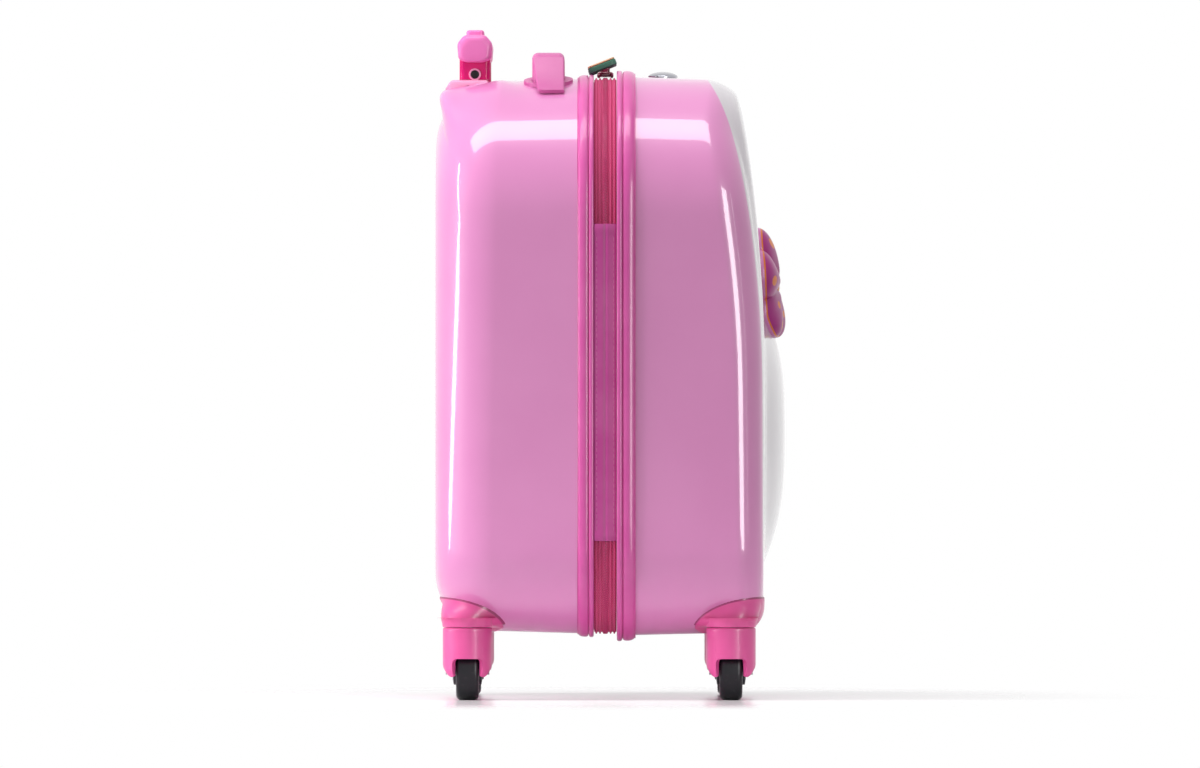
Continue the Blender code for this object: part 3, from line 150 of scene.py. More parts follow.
# Lamps: place, target, size, power, roll in degrees, and which rays they light
LAMPS = {
    "overhead": ((-0.50, -0.55, 2.20), (-0.50, -0.54, 0), (2.4, 0.70), 36.0, 0, "both"),
    "left_soft": ((-1.05, -0.42, 0.50), (0, -0.1, 0.25), (0.5, 0.9), 10.0, 0, "diffuse"),
    "left_strip": ((-1.775, -0.20, 0.225), (-0.1, -0.1, 0.225), (0.095, 0.76), 3.0, -70, "glossy"),
    "left_high": ((-1.67, -0.335, 0.78), (-0.1, -0.14, 0.36), (0.095, 0.98), 3.9, 26, "glossy"),
    "right_strip": ((1.04, -1.53, 0.62), (0.1, -0.1, 0.62), (0.46, 1.20), 19.0, -14, "glossy"),
    "right_line": ((1.50, -1.05, 0.58), (0.1, -0.1, 0.58), (0.05, 1.00), 0.7, -12, "glossy"),
    "near_soft": ((-0.90, -2.20, 0.80), (0, 0, 0.23), (1.2, 1.0), 4.0, 0, "diffuse"),
    "front_soft": ((2.00, -0.10, 1.00), (0, -0.1, 0.25), (1.2, 1.2), 6.0, 0, "diffuse"),
}

# Camera: metres a pixel, the picture's width and middle, and the pixel of the origin
PIXEL = 0.000705
PICTURE_WIDTH = 1200
PICTURE_MIDDLE = (600, 384)
ORIGIN_PIXEL = (610.75, 697.3)
SENSOR = 36.0


class Term:
    """A shader value that adds Math nodes when it is used in an expression."""

    def __init__(self, nodes, socket):
        self.nodes, self.socket = nodes, socket

    def math(self, operation, *values):
        return self.nodes.add("ShaderNodeMath", {"operation": operation}, *values)

    def __add__(self, other):
        return self.math("ADD", self, other)

    def __sub__(self, other):
        return self.math("SUBTRACT", self, other)

    def __rsub__(self, other):
        return self.math("SUBTRACT", other, self)

    def __mul__(self, other):
        return self.math("MULTIPLY", self, other)

    def __truediv__(self, other):
        return self.math("DIVIDE", self, other)

    def __pow__(self, other):
        return self.math("POWER", self, other)

    __radd__ = __add__
    __rmul__ = __mul__

    def size(self):
        return self.math("ABSOLUTE", self)

    def sine(self):
        return self.math("SINE", self)

    def cosine(self):
        return self.math("COSINE", self)

    def lower(self, other):
        return self.math("MINIMUM", self, other)

    def higher(self, other):
        return self.math("MAXIMUM", self, other)

    def reach(self, other):
        """Root of the sum of both squares."""
        return (self * self + other * other) ** 0.5

    def turn(self, across):
        """Angle of the point (across, self)."""
        return self.math("ARCTAN2", self, across)

    def rise(self, low, high):
        """0 below low and 1 above high, smooth between; falls instead where low is the higher."""
        return self.nodes.add("ShaderNodeMapRange", {"interpolation_type": "SMOOTHSTEP"},
                              self, low, high, 0.0, 1.0)


class Nodes:
    """A node tree that is given nodes, values and links."""

    def __init__(self, tree):
        self.tree = tree

    def add(self, kind, settings=None, *inputs, output=0, **named):
        """A node with its settings made first, then its sockets fed; returns one output."""
        node = self.tree.nodes.new(kind)
        for key, value in (settings or {}).items():
            setattr(node, key, value)
        for socket, value in zip(node.inputs, inputs):
            self.feed(socket, value)
        for label, value in named.items():
            self.feed(node.inputs[label.replace("_", " ")], value)
        return Term(self, node.outputs[output]) if node.outputs else None

    def feed(self, socket, value):
        if isinstance(value, Term):
            self.tree.links.new(value.socket, socket)
        elif value is not None:
            socket.default_value = value


class Recipe(Nodes):
    """A Principled material and the nodes that feed it."""

    def __init__(self, name, colour, roughness, metallic=0.0, **levels):
        self.material = bpy.data.materials.new(name)
        self.material.use_nodes = True
        super().__init__(self.material.node_tree)
        self.shader = self.tree.nodes["Principled BSDF"]
        self.shader.inputs["Base Color"].default_value = (*colour, 1.0)
        self.shader.inputs["Roughness"].default_value = roughness
        self.shader.inputs["Metallic"].default_value = metallic
        for label, level in levels.items():
            self.shader.inputs[label.replace("_", " ")].default_value = level

    def place(self):
        """Object coordinates, in metres."""
        return self.add("ShaderNodeTexCoord", output="Object")

    def axes(self, vector=None):
        """The three parts of a vector, or of the place."""
        first = self.add("ShaderNodeSeparateXYZ", {}, vector or self.place())
        return [Term(self, output) for output in first.socket.node.outputs]

    def spread(self):
        """The piece's own UV map: metres along it and across it."""
        return self.axes(self.add("ShaderNodeTexCoord", output="UV"))[:2]

    def noise(self, scale, detail=2.0, vector=None, rough=0.5):
        return self.add("ShaderNodeTexNoise", {}, vector or self.place(), Scale=scale,
                        Detail=detail, Roughness=rough)

    def mix(self, mask, first, second):
        """A colour between two, by a mask; the node's colour sockets come after five others."""
        colours = [(*hue, 1.0) if isinstance(hue, tuple) else hue for hue in (first, second)]
        return self.add("ShaderNodeMix", {"data_type": "RGBA"}, mask, *[None] * 5, *colours,
                        output=2)

    def tones(self, mask, colour, dark, pale):
        """One colour moved towards black or white by two shares, by a mask."""
        return self.mix(mask, lighter(colour, dark), lighter(colour, pale))

    def set(self, label, value):
        self.feed(self.shader.inputs[label], value)

    def bump(self, height, distance):
        """A normal from a height that is worth a distance in metres."""
        self.set("Normal", self.add("ShaderNodeBump", {}, Strength=1.0, Distance=distance,
                                    Height=height))


def lighter(colour, share):
    """A colour moved a share of the way to white, or to black where the share is negative."""
    goal = 1.0 if share > 0 else 0.0
    return tuple(part + (goal - part) * abs(share) for part in colour)


def gloss_shell(name, colour, printed=None):
    """Printed film under a clear gloss: faint cloud in the colour and orange peel in the gloss."""
    recipe = Recipe(name, colour, 0.30, Coat_Weight=1.0, Coat_Roughness=0.05,
                    Specular_IOR_Level=0.40)
    film = recipe.tones(recipe.noise(11.0, 3.0).rise(0.3, 0.7), colour, -0.03, 0.02)
    recipe.set("Base Color", printed(recipe, film) if printed else film)
    recipe.set("Roughness", 0.26 + 0.08 * recipe.noise(60.0, 4.0))
    recipe.bump(recipe.noise(95.0, 1.0) + 0.15 * recipe.noise(420.0, 2.0), 0.00003)
    return recipe.material


def moulded(name, colour, roughness, grain=1500.0, depth=0.00003, coat=0.0, coat_roughness=0.08,
            shine=0.4, printed=None):
    """Moulded plastic: fine spark grain, a slightly uneven colour and uneven gloss."""
    recipe = Recipe(name, colour, roughness, Coat_Weight=coat, Coat_Roughness=coat_roughness,
                    Specular_IOR_Level=shine)
    film = recipe.tones(recipe.noise(35.0, 3.0).rise(0.25, 0.75), colour, -0.06, 0.03)
    recipe.set("Base Color", printed(recipe, film) if printed else film)
    recipe.set("Roughness", roughness - 0.04 + 0.08 * recipe.noise(180.0, 3.0))
    recipe.bump(recipe.noise(grain, 2.0) + 0.4 * recipe.noise(grain / 6, 2.0), depth)
    return recipe.material


def woven(name, colour, pitch=0.0011, twill=0.5, roughness=0.85):
    """Woven ribbon on the piece's own UV map: ribs across it, crossed by a slanting twill."""
    recipe = Recipe(name, colour, roughness, Sheen_Weight=0.08, Sheen_Roughness=0.5,
                    Specular_IOR_Level=0.2)
    along, across = recipe.spread()
    weft = (along * (math.tau / pitch)).sine()
    warp = (across * (math.tau / pitch / 1.3) + along * (math.tau * twill / pitch)).sine()
    thread = weft * warp
    fuzz = recipe.noise(900.0, 3.0)
    shade = (thread * 0.35 + 0.35 + 0.3 * fuzz).rise(0.1, 0.9)
    recipe.set("Base Color", recipe.tones(shade, colour, -0.28, 0.08))
    recipe.bump(thread + fuzz, 0.00012)
    return recipe.material


def cloth(name, colour, pitch=0.0009):
    """Plain lining cloth: threads by the sines of y + x and z + x, over a faint cloud."""
    recipe = Recipe(name, colour, 0.8, Sheen_Weight=0.35, Sheen_Roughness=0.4)
    x, y, z = recipe.axes()
    thread = ((y + x) * (math.tau / pitch)).sine() * ((z + x) * (math.tau / pitch)).sine()
    shade = (thread * 0.2 + recipe.noise(22.0, 3.0)).rise(0.1, 0.95)
    recipe.set("Base Color", recipe.tones(shade, colour, -0.12, 0.08))
    recipe.bump(thread * 0.4 + recipe.noise(45.0, 3.0) * 6.0, 0.00022)
    return recipe.material


def metal(name, colour, roughness, axis=2, brush=2600.0):
    """Metal brushed along one axis."""
    recipe = Recipe(name, colour, roughness, 1.0)
    stretch = [brush] * 3
    stretch[axis] = brush / 60
    fine = recipe.add("ShaderNodeVectorMath", {"operation": "MULTIPLY"}, recipe.place(), stretch)
    streak = recipe.noise(1.0, 3.0, fine)
    recipe.set("Roughness", roughness - 0.08 + 0.16 * streak)
    recipe.set("Base Color", recipe.tones(streak, colour, -0.12, 0.05))
    recipe.bump(streak, 0.00001)
    return recipe.material


def rubber(name, colour):
    """Tyre rubber: dull, with dust on the tread and fine scuffs round it."""
    recipe = Recipe(name, colour, 0.38, Specular_IOR_Level=0.3)
    scuff = recipe.noise(240.0, 5.0, rough=0.7)
    worn = scuff.rise(0.55, 0.85)
    recipe.set("Base Color", recipe.tones(worn, colour, 0.0, 0.03))
    recipe.set("Roughness", 0.34 + 0.20 * worn)
    recipe.bump(scuff, 0.00002)
    return recipe.material


def xyz(x, y, z):
    """Points from three arrays or numbers, spread against each other."""
    return np.stack(np.broadcast_arrays(x, y, z), -1)


def smooth(value):
    """3 v squared less 2 v cubed, v being the value held between 0 and 1."""
    value = np.clip(value, 0, 1)
    return value ** 2 * (3 - 2 * value)


def outline(steps=14, headroom=0.0, low_radius=BOTTOM_CORNER, gap=None):
    """Arrays y, z, normal y and normal z round the case, seen along X.

    A rounded rectangle with the larger radius at its top corners, walked up the
    hinge side, over the top, down the zip side and back along the bottom. The
    upper half is raised by the crown times 1 - (y / half width) squared. With a
    gap (low, high), the walk starts at its high end and stops at its low end.
    """
    top = SHELL_TOP - TOP_CROWN - headroom
    top_z, low_z = top - TOP_CORNER, SHELL_BOTTOM + low_radius
    top_y, low_y = HALF_WIDTH - TOP_CORNER, HALF_WIDTH - low_radius
    start, stop = (gap[1], gap[0]) if gap else (MIDDLE_Z, MIDDLE_Z)

    def run(a, b, count):
        share = np.linspace(0, 1, count, endpoint=False)[:, None]
        return np.array(a) + (np.array(b) - np.array(a)) * share

    def bend(y, z, radius, first, last):
        angle = np.radians(np.linspace(first, last, steps, endpoint=False))
        return np.stack((y + radius * np.cos(angle), z + radius * np.sin(angle),
                         np.cos(angle), np.sin(angle)), 1)

    def side(y, z_from, z_to, count):
        return run((y, z_from, math.copysign(1, y), 0), (y, z_to, math.copysign(1, y), 0), count)

    parts = [side(-HALF_WIDTH, start, top_z, 6), bend(-top_y, top_z, TOP_CORNER, 180, 90),
             run((-top_y, top, 0, 1), (top_y, top, 0, 1), 30),
             bend(top_y, top_z, TOP_CORNER, 90, 0), side(HALF_WIDTH, top_z, low_z, 14),
             bend(low_y, low_z, low_radius, 0, -90),
             run((low_y, SHELL_BOTTOM, 0, -1), (-low_y, SHELL_BOTTOM, 0, -1), 12),
             bend(-low_y, low_z, low_radius, 270, 180), side(-HALF_WIDTH, low_z, stop, 6)]
    if gap:
        parts.append(np.array([(-HALF_WIDTH, stop, -1.0, 0.0)]))
    y, z, normal_y, normal_z = np.concatenate(parts).T
    upper = z > MIDDLE_Z
    slope = np.where(upper, -2 * TOP_CROWN * y / HALF_WIDTH ** 2, 0.0)
    z = z + np.where(upper, TOP_CROWN * (1 - (y / HALF_WIDTH) ** 2), 0.0)
    normal_y = normal_y - normal_z * slope
    length = np.hypot(normal_y, normal_z)
    return y, z, normal_y / length, normal_z / length


def path_length(ring):
    """Distance walked along an array of points, from 0, with the way back to the start last."""
    closed = np.concatenate((ring, ring[:1]))
    return np.concatenate(([0.0], np.cumsum(np.linalg.norm(np.diff(closed, axis=0), axis=1))))


def lean(z):
    """((z - start) / (top - start)) squared, and 0 below the start."""
    return (np.maximum(0.0, z - LEAN_START) / (SHELL_TOP - LEAN_START)) ** 2


def front_edge_x(z):
    return FRONT_X - EDGE_LEAN * lean(z)


def rising(low, high, z):
    """A value that goes evenly from low at the shell's bottom to high at its top."""
    return low + (high - low) * (z - SHELL_BOTTOM) / (SHELL_TOP - SHELL_BOTTOM)


def panel_field(y, z):
    """Fourth powers of the offsets from the panel's middle, summed: 1 on the panel's edge."""
    along = np.abs(2 * z - PANEL_TOP - PANEL_BOTTOM) / (PANEL_TOP - PANEL_BOTTOM)
    return (np.abs(y) / PANEL_HALF) ** 4 + along ** 4


def front_radius(z):
    """Edge rounding of the lid: even growth, less a smooth step along its top edge."""
    cut = FRONT_STEP_CUT * smooth((z - FRONT_STEP_START) / FRONT_STEP_RUN)
    return rising(FRONT_EDGE_LOW, FRONT_EDGE_HIGH, z) - cut


def relief(y, z):
    """Crowned panel, 1 - field to the fifth, and the dome, (1 - distance cubed) to the 1.25."""
    panel = np.maximum(0.0, 1 - panel_field(y, z) ** 5)
    height = ((EDGE_LEAN - CENTRE_LEAN) * lean(z) + FRONT_CROWN) * panel
    away = np.hypot(y / DOME_HALF[0], (z - DOME_Z) / DOME_HALF[1])
    return height + DOME_HEIGHT * (1 - np.minimum(1.0, away) ** 3) ** 1.25


def front_x(y, z):
    return front_edge_x(z) + relief(y, z)


def bowl(mouth_x, face, radius, grow=0.0, skin=0.0, ring=None, steps=14, raised=None):
    """Rings of a shell from its mouth over its rounded edge to the middle of its face.

    The wall narrows by the draft, the edge is a quarter circle of the given
    radius at each height, and the face's rings shrink about its middle. skin
    moves the surface outwards, and raised gives the face its relief.
    """
    y, z, normal_y, normal_z = outline() if ring is None else ring
    outward = math.copysign(1.0, face(MIDDLE_Z) - mouth_x)
    rows = []
    for share in np.linspace(0, 1, 6, endpoint=False):
        out = grow + skin - SHELL_DRAFT * share
        height = z + normal_z * out
        start = face(height) - outward * radius(height)
        rows.append(xyz(mouth_x + (start - mouth_x) * share, y + normal_y * out, height))
    rounding = radius(z)
    for angle in np.radians(np.linspace(0, 90, steps)):
        out = grow - SHELL_DRAFT - rounding * (1 - math.cos(angle)) + skin * math.cos(angle)
        height, across = z + normal_z * out, y + normal_y * out
        depth = rounding * (1 - math.sin(angle)) - skin * math.sin(angle)
        lift = raised(across, height) * math.sin(angle) ** 1.2 if raised else 0.0
        rows.append(xyz(face(height) - outward * depth + lift, across, height))
    rim_y, rim_z = rows[-1][:, 1], rows[-1][:, 2]
    centre_z = DOME_Z if raised else MIDDLE_Z
    for share in np.linspace(1, 0, 34)[1:]:
        across, height = rim_y * share, centre_z + (rim_z - centre_z) * share
        lift = raised(across, height) if raised else 0.0
        rows.append(xyz(face(height) + outward * skin + lift, across, height))
    return np.array(rows)


def rear_radius(z):
    return rising(REAR_EDGE_LOW, REAR_EDGE_HIGH, z)


def level(value):
    """A size that is the same at every height."""
    return lambda z: value + 0 * z


back_face = level(BACK_X)


def cleared(rows, axes):
    """Lift what is near a swivel axis over the fork: z >= height - (distance - radius) / 1.9."""
    rows = rows.copy()
    for x, y in axes:
        away = np.hypot(rows[..., 0] - x, rows[..., 1] - y)
        floor = SWIVEL_Z - CLEAR - np.maximum(0, away - FORK_CLEAR) / 1.9
        rows[..., 2] = np.where(away < 0.030, np.maximum(rows[..., 2], floor), rows[..., 2])
    return rows


def shouldered(rows):
    """Swell the top back edge out to the platform that carries the bezel.

    In polar terms about a line inside the edge, a point moves out towards the
    platform's section by s * s / (s + 0.4 mm), s being how far short of it the
    point is, and less so past the platform's ends, where it falls with the top.
    """
    section = softened(SHOULDER, 0.0030, 8, closed=False)
    form = section + np.array((BACK_X, BEZEL_TOP)) - SHOULDER_AXIS
    turn = np.arctan2(form[:, 1], -form[:, 0])
    past = np.clip(np.abs(rows[..., 1]) - HALF_WIDTH + TOP_CORNER, 0, TOP_CORNER)
    fall = (TOP_CROWN * (rows[..., 1] / HALF_WIDTH) ** 2 + TOP_CORNER
            - np.sqrt(TOP_CORNER ** 2 - past ** 2))
    offset = rows[..., (0, 2)] - SHOULDER_AXIS
    offset[..., 1] += np.maximum(0, fall - SHOULDER_LEVEL)
    reach = np.hypot(offset[..., 0], offset[..., 1])
    angle = np.arctan2(offset[..., 1], -offset[..., 0])
    goal = np.interp(angle, turn, np.hypot(form[:, 0], form[:, 1]), left=0, right=0)
    short = np.maximum(0, goal - reach)
    share = smooth((SHOULDER_END - np.abs(rows[..., 1])) / SHOULDER_FADE)
    move = share * short ** 2 / (short + SHOULDER_BLEND) / np.maximum(reach, 1e-6)
    rows = rows.copy()
    rows[..., (0, 2)] += offset * move[..., None]
    return rows


def rear_rows(skin=0.0):
    rows = bowl(REAR_MOUTH_X, back_face, rear_radius, skin=skin, ring=outline(22), steps=46)
    return cleared(shouldered(rows) if skin == 0 else rows, REAR_AXES)


def front_rows(skin=0.0, raised=relief):
    rows = bowl(FRONT_MOUTH_X, front_edge_x, front_radius, grow=LID_OVERSIZE, skin=skin,
                ring=outline(22), steps=24, raised=raised)
    return cleared(rows, FRONT_AXES)


def grid_faces(rows, columns, loop_rows, loop_columns, offset=0):
    """Corners of the quads of a grid of points, row by row."""
    row = np.arange(rows if loop_rows else rows - 1)[:, None]
    column = np.arange(columns if loop_columns else columns - 1)[None, :]
    next_row, next_column = (row + 1) % rows, (column + 1) % columns
    quads = np.stack(np.broadcast_arrays(row * columns + column, row * columns + next_column,
                                         next_row * columns + next_column,
                                         next_row * columns + column), -1)
    return quads.reshape(-1, 4) + offset


def grid_spread(along, across):
    """UV corners for grid_faces, from distances along the rows and across the columns."""
    rows, columns = len(along) - 1, len(across) - 1
    u, v = np.meshgrid(along, across, indexing="ij")
    corners_u = np.stack((u[:rows, :columns], u[:rows, 1:columns + 1],
                          u[1:rows + 1, 1:columns + 1], u[1:rows + 1, :columns]), -1)
    corners_v = np.stack((v[:rows, :columns], v[:rows, 1:columns + 1],
                          v[1:rows + 1, 1:columns + 1], v[1:rows + 1, :columns]), -1)
    return np.stack((corners_u, corners_v), -1).reshape(-1, 2)


class Build:
    """Collects grids and repeated forms, then makes one piece of them."""

    def __init__(self):
        self.points, self.faces, self.spread = [], [], []
        self.count = 0

    def grid(self, points, loop_rows=False, loop_columns=True, spread=None):
        points = np.asarray(points)
        rows, columns = points.shape[:2]
        faces = grid_faces(rows, columns, loop_rows, loop_columns, self.count)
        self.points.append(points.reshape(-1, 3))
        self.faces += faces.tolist()
        self.spread.append(spread if spread is not None else np.zeros((len(faces) * 4, 2)))
        self.count += rows * columns
        return self

    def sandwich(self, outer, inner, inside):
        """Two grids that meet where inside is false, joined there into one closed skin."""
        rows, columns = inside.shape
        quads = grid_faces(rows, columns, False, False)
        quads = quads[inside.reshape(-1)[quads].any(1)]
        shared = np.arange(rows * columns)
        under = np.where(inside.reshape(-1), shared + rows * columns, shared)
        faces = np.concatenate((quads, under[quads][:, ::-1])) + self.count
        self.points += [outer.reshape(-1, 3), inner.reshape(-1, 3)]
        self.faces += faces.tolist()
        self.spread.append(np.zeros((len(faces) * 4, 2)))
        self.count += 2 * rows * columns
        return self

    def repeat(self, form, faces, places, turns):
        """Copies of a small form: turned by 3 x 3 arrays, then moved."""
        points = np.einsum("nij,kj->nki", turns, form) + places[:, None, :]
        starts = np.arange(len(places)) * len(form) + self.count
        self.points.append(points.reshape(-1, 3))
        for start in starts:
            self.faces += [[corner + int(start) for corner in face] for face in faces]
            self.spread.append(np.zeros((sum(len(face) for face in faces), 2)))
        self.count += len(places) * len(form)
        return self

    def piece(self, name, material, body, slot, replaces=(), sharp=35.0):
        """One closed piece: doubles merged, faces outwards, smooth but for its sharp edges."""
        mesh = bpy.data.meshes.new(name)
        mesh.from_pydata(np.concatenate(self.points), [], self.faces)
        layer = mesh.uv_layers.new(name="spread")
        layer.data.foreach_set("uv", np.concatenate(self.spread).astype(np.float32).ravel())
        return settle(name, mesh, material, body, replaces, sharp)


def settle(name, mesh, material, body, replaces=(), sharp=35.0):
    """Merge a mesh's doubles, turn its faces out and hang the piece on its body, if it has one."""
    form = bmesh.new()
    form.from_mesh(mesh)
    bmesh.ops.remove_doubles(form, verts=form.verts, dist=2e-6)
    bmesh.ops.dissolve_degenerate(form, edges=form.edges, dist=1e-6)
    bmesh.ops.recalc_face_normals(form, faces=form.faces)
    form.to_mesh(mesh)
    form.free()
    mesh.materials.append(material)
    mesh.shade_smooth()
    mesh.set_sharp_from_angle(angle=math.radians(sharp))
    obj = bpy.data.objects.new(name, mesh)
    bpy.context.scene.collection.objects.link(obj)
    if replaces:
        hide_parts(*replaces)
    if body:
        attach(obj, body)
    return obj


def merged_copy(node, name, material, body, bevel=0.0005, segments=2):
    """A CAD node's own form, merged, its edges rounded for the light to catch."""
    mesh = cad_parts[node].data.copy()
    mesh.materials.clear()
    form = bmesh.new()
    form.from_mesh(mesh)
    bmesh.ops.remove_doubles(form, verts=form.verts, dist=5e-6)
    bmesh.ops.dissolve_limit(form, angle_limit=math.radians(0.6), verts=form.verts,
                             edges=form.edges)
    form.to_mesh(mesh)
    form.free()
    obj = settle(name, mesh, material, body, (node,))
    rounding = obj.modifiers.new("rounding", "BEVEL")
    rounding.width = bevel
    rounding.segments = segments
    rounding.limit_method = "ANGLE"
    rounding.angle_limit = math.radians(34)
    rounding.harden_normals = True
    return obj


def keep(node, material):
    """Finish a CAD node whose form is right as it is."""
    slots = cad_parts[node].data.materials
    slots.clear()
    slots.append(material)


def rounded_rectangle(half_a, half_b, radius, steps=6):
    """Points and outward normals round a rectangle with quarter-circle corners."""
    points, normals = [], []
    for quarter, (sign_a, sign_b) in enumerate(((1, 1), (-1, 1), (-1, -1), (1, -1))):
        angle = np.radians(np.linspace(90 * quarter, 90 * quarter + 90, steps + 1))
        normal = np.stack((np.cos(angle), np.sin(angle)), 1)
        centre = np.array((sign_a * (half_a - radius), sign_b * (half_b - radius)))
        points.append(centre + radius * normal)
        normals.append(normal)
    return np.concatenate(points), np.concatenate(normals)


def oval(half_a, half_b, sides):
    """Points round an ellipse."""
    angle = np.linspace(0, math.tau, sides, endpoint=False)
    return np.stack((half_a * np.cos(angle), half_b * np.sin(angle)), 1)


def capped(rows, both=True):
    """Rows whose first ring, and last ring where both are asked, is closed on its middle."""
    first, last = (np.broadcast_to(rows[i].mean(0), rows[i].shape)[None] for i in (0, -1))
    return np.concatenate((first, rows, last) if both else (first, rows))


def prism(shape, low, high, edge, steps=4, edge_low=None):
    """Rows (a, b, height) of a solid of one outline whose two ends have quarter-round edges."""
    points, normals = shape
    edge_low = edge if edge_low is None else edge_low
    sweep = np.radians(np.linspace(0, 90, steps + 1))
    rows = [xyz(*(points - normals * edge_low * (1 - math.sin(a))).T,
                low + edge_low * (1 - math.cos(a))) for a in sweep]
    rows += [xyz(*(points - normals * edge * (1 - math.sin(a))).T,
                 high - edge * (1 - math.cos(a))) for a in sweep[::-1]]
    return capped(np.array(rows))


def aim(rows, order, centre=(0, 0, 0)):
    """Send a solid's (a, b, height) to world axes, such as "yzx" for height along X."""
    place = np.empty_like(rows)
    for index, axis in enumerate(order):
        place[..., "xyz".index(axis)] = rows[..., index]
    return place + np.array(centre)


def lathe(profile, centre, axis="z", sides=64):
    """A closed profile of (radius, height) turned about an axis through a centre."""
    radius, height = np.array(profile).T[:, :, None]
    angle = np.linspace(0, math.tau, sides, endpoint=False)
    rows = xyz(radius * np.cos(angle), radius * np.sin(angle), height)
    return aim(rows, {"x": "yzx", "y": "zxy", "z": "xyz"}[axis], centre)


def softened(profile, radius, steps=4, closed=True):
    """A profile with each corner cut back by a radius and rounded with a quadratic bend."""
    profile = np.array(profile, float)
    if not closed:
        ends = 2 * profile[[0, -1]] - profile[[1, -2]]
        return softened(np.concatenate((ends[:1], profile, ends[1:])), radius, steps)[
            steps + 1:-steps - 1]
    before, after = np.roll(profile, 1, 0), np.roll(profile, -1, 0)
    span_in = np.linalg.norm(before - profile, axis=1, keepdims=True)
    span_out = np.linalg.norm(after - profile, axis=1, keepdims=True)
    start = profile + (before - profile) * np.minimum(0.45, radius / span_in)
    end = profile + (after - profile) * np.minimum(0.45, radius / span_out)
    share = np.linspace(0, 1, steps + 1)[None, :, None]
    bend = ((1 - share) ** 2 * start[:, None] + 2 * share * (1 - share) * profile[:, None]
            + share ** 2 * end[:, None])
    return bend.reshape(-1, 2)


def steps_ahead(line):
    """Unit vectors along a line of points."""
    ahead = np.gradient(line, axis=0)
    return ahead / np.linalg.norm(ahead, axis=1, keepdims=True)


def resampled(path, count):
    """A number of points spread evenly over the spans of a path."""
    path = np.array(path)
    share = np.linspace(0, len(path) - 1, count)
    return np.stack([np.interp(share, np.arange(len(path)), axis) for axis in path.T], 1)


def swept(line, section, over, aside=(1.0, 0.0, 0.0)):
    """A section of (a, b) carried along a line of points: line + a times aside + b times over.

    The section is one array of points, or one for each point of the line.
    """
    aside, over = np.atleast_2d(aside)[:, None], np.atleast_2d(over)[:, None]
    return line[:, None] + section[..., :1] * aside + section[..., 1:] * over


def along_outline(section, mouth_x, outward, grow, ring):
    """A section of (depth, rise) carried round the outline: a row for each place on it."""
    y, z, normal_y, normal_z = ring
    return swept(xyz(mouth_x, y, z), np.array(section) * (outward, 1) + (0, grow),
                 xyz(0, normal_y, normal_z))


class CaseSizes(bpy.types.PropertyGroup):
    """Sizes that shape what the frame leaves open."""

    teeth_pitch: FloatProperty(name="Teeth pitch", description="Distance between zip teeth",
                               default=0.0019, min=0.0012, unit="LENGTH")
    stitch_pitch: FloatProperty(name="Stitch pitch", description="Distance between stitches",
                                default=0.0042, min=0.002, unit="LENGTH")
    dot_radius: FloatProperty(name="Dot radius", description="Radius of the flower's dots",
                              default=0.0038, unit="LENGTH")
    petals: IntProperty(name="Petals", description="Petals of the raised flower", default=5,
                        min=3, max=8)
    camera_distance: FloatProperty(name="Camera distance", description="From the case's middle",
                                   default=14.0, unit="LENGTH")


def colour_property(label, words, default):
    return FloatVectorProperty(name=label, description=words, subtype="COLOR", size=3,
                               min=0.0, max=1.0, default=default)


class CaseColours(bpy.types.PropertyGroup):
    """Colours in linear light."""

    shell: colour_property("Shell", "Both shells", (0.76, 0.25, 0.555))
    panel: colour_property("Panel", "The front's printed ground", (0.66, 0.61, 0.655))
    rim: colour_property("Rims", "Both rims", (0.70, 0.085, 0.38))
    tape: colour_property("Zip", "Tape and teeth", (0.76, 0.055, 0.235))
    strip: colour_property("Hinge strip", "Soft strip on the hinge side", (0.50, 0.048, 0.27))
    caster: colour_property("Casters", "Housings and forks", (0.80, 0.085, 0.34))
    grip: colour_property("Grip", "Trolley grip", (0.90, 0.19, 0.54))
    leg: colour_property("Legs", "Gloss legs of the grip", (0.70, 0.001, 0.17))
    bezel: colour_property("Bezel", "Trolley bezel", (0.95, 0.36, 0.60))
    handle: colour_property("Carry handle", "Carry handle and plates", (0.62, 0.125, 0.37))
    pull: colour_property("Zip pulls", "Soft pulls", (0.02, 0.145, 0.085))
    cream: colour_property("Pull top", "Top layer of the pulls", (0.80, 0.50, 0.28))
    slider: colour_property("Sliders", "Enamelled sliders", (0.30, 0.008, 0.06))
    lining: colour_property("Lining", "Cloth inside", (0.78, 0.42, 0.58))
    dark: colour_property("Dark plastic", "Hubs, buckle and pins", (0.018, 0.016, 0.024))
    flower: colour_property("Flower", "Raised flower", (0.43, 0.018, 0.235))
    orange: colour_property("Orange", "Dots and outlines", (0.85, 0.22, 0.03))
    leaf: colour_property("Leaf", "Printed leaves", (0.10, 0.36, 0.16))


class Suitcase:
    """What every operator here shares."""

    bl_options = {"REGISTER", "UNDO"}

    def execute(self, context):
        group = context.scene.suitcase_colours
        colours = {name: tuple(getattr(group, name)) for name in CaseColours.__annotations__}
        self.make(context.scene.suitcase_sizes, SimpleNamespace(**colours))
        return {"FINISHED"}


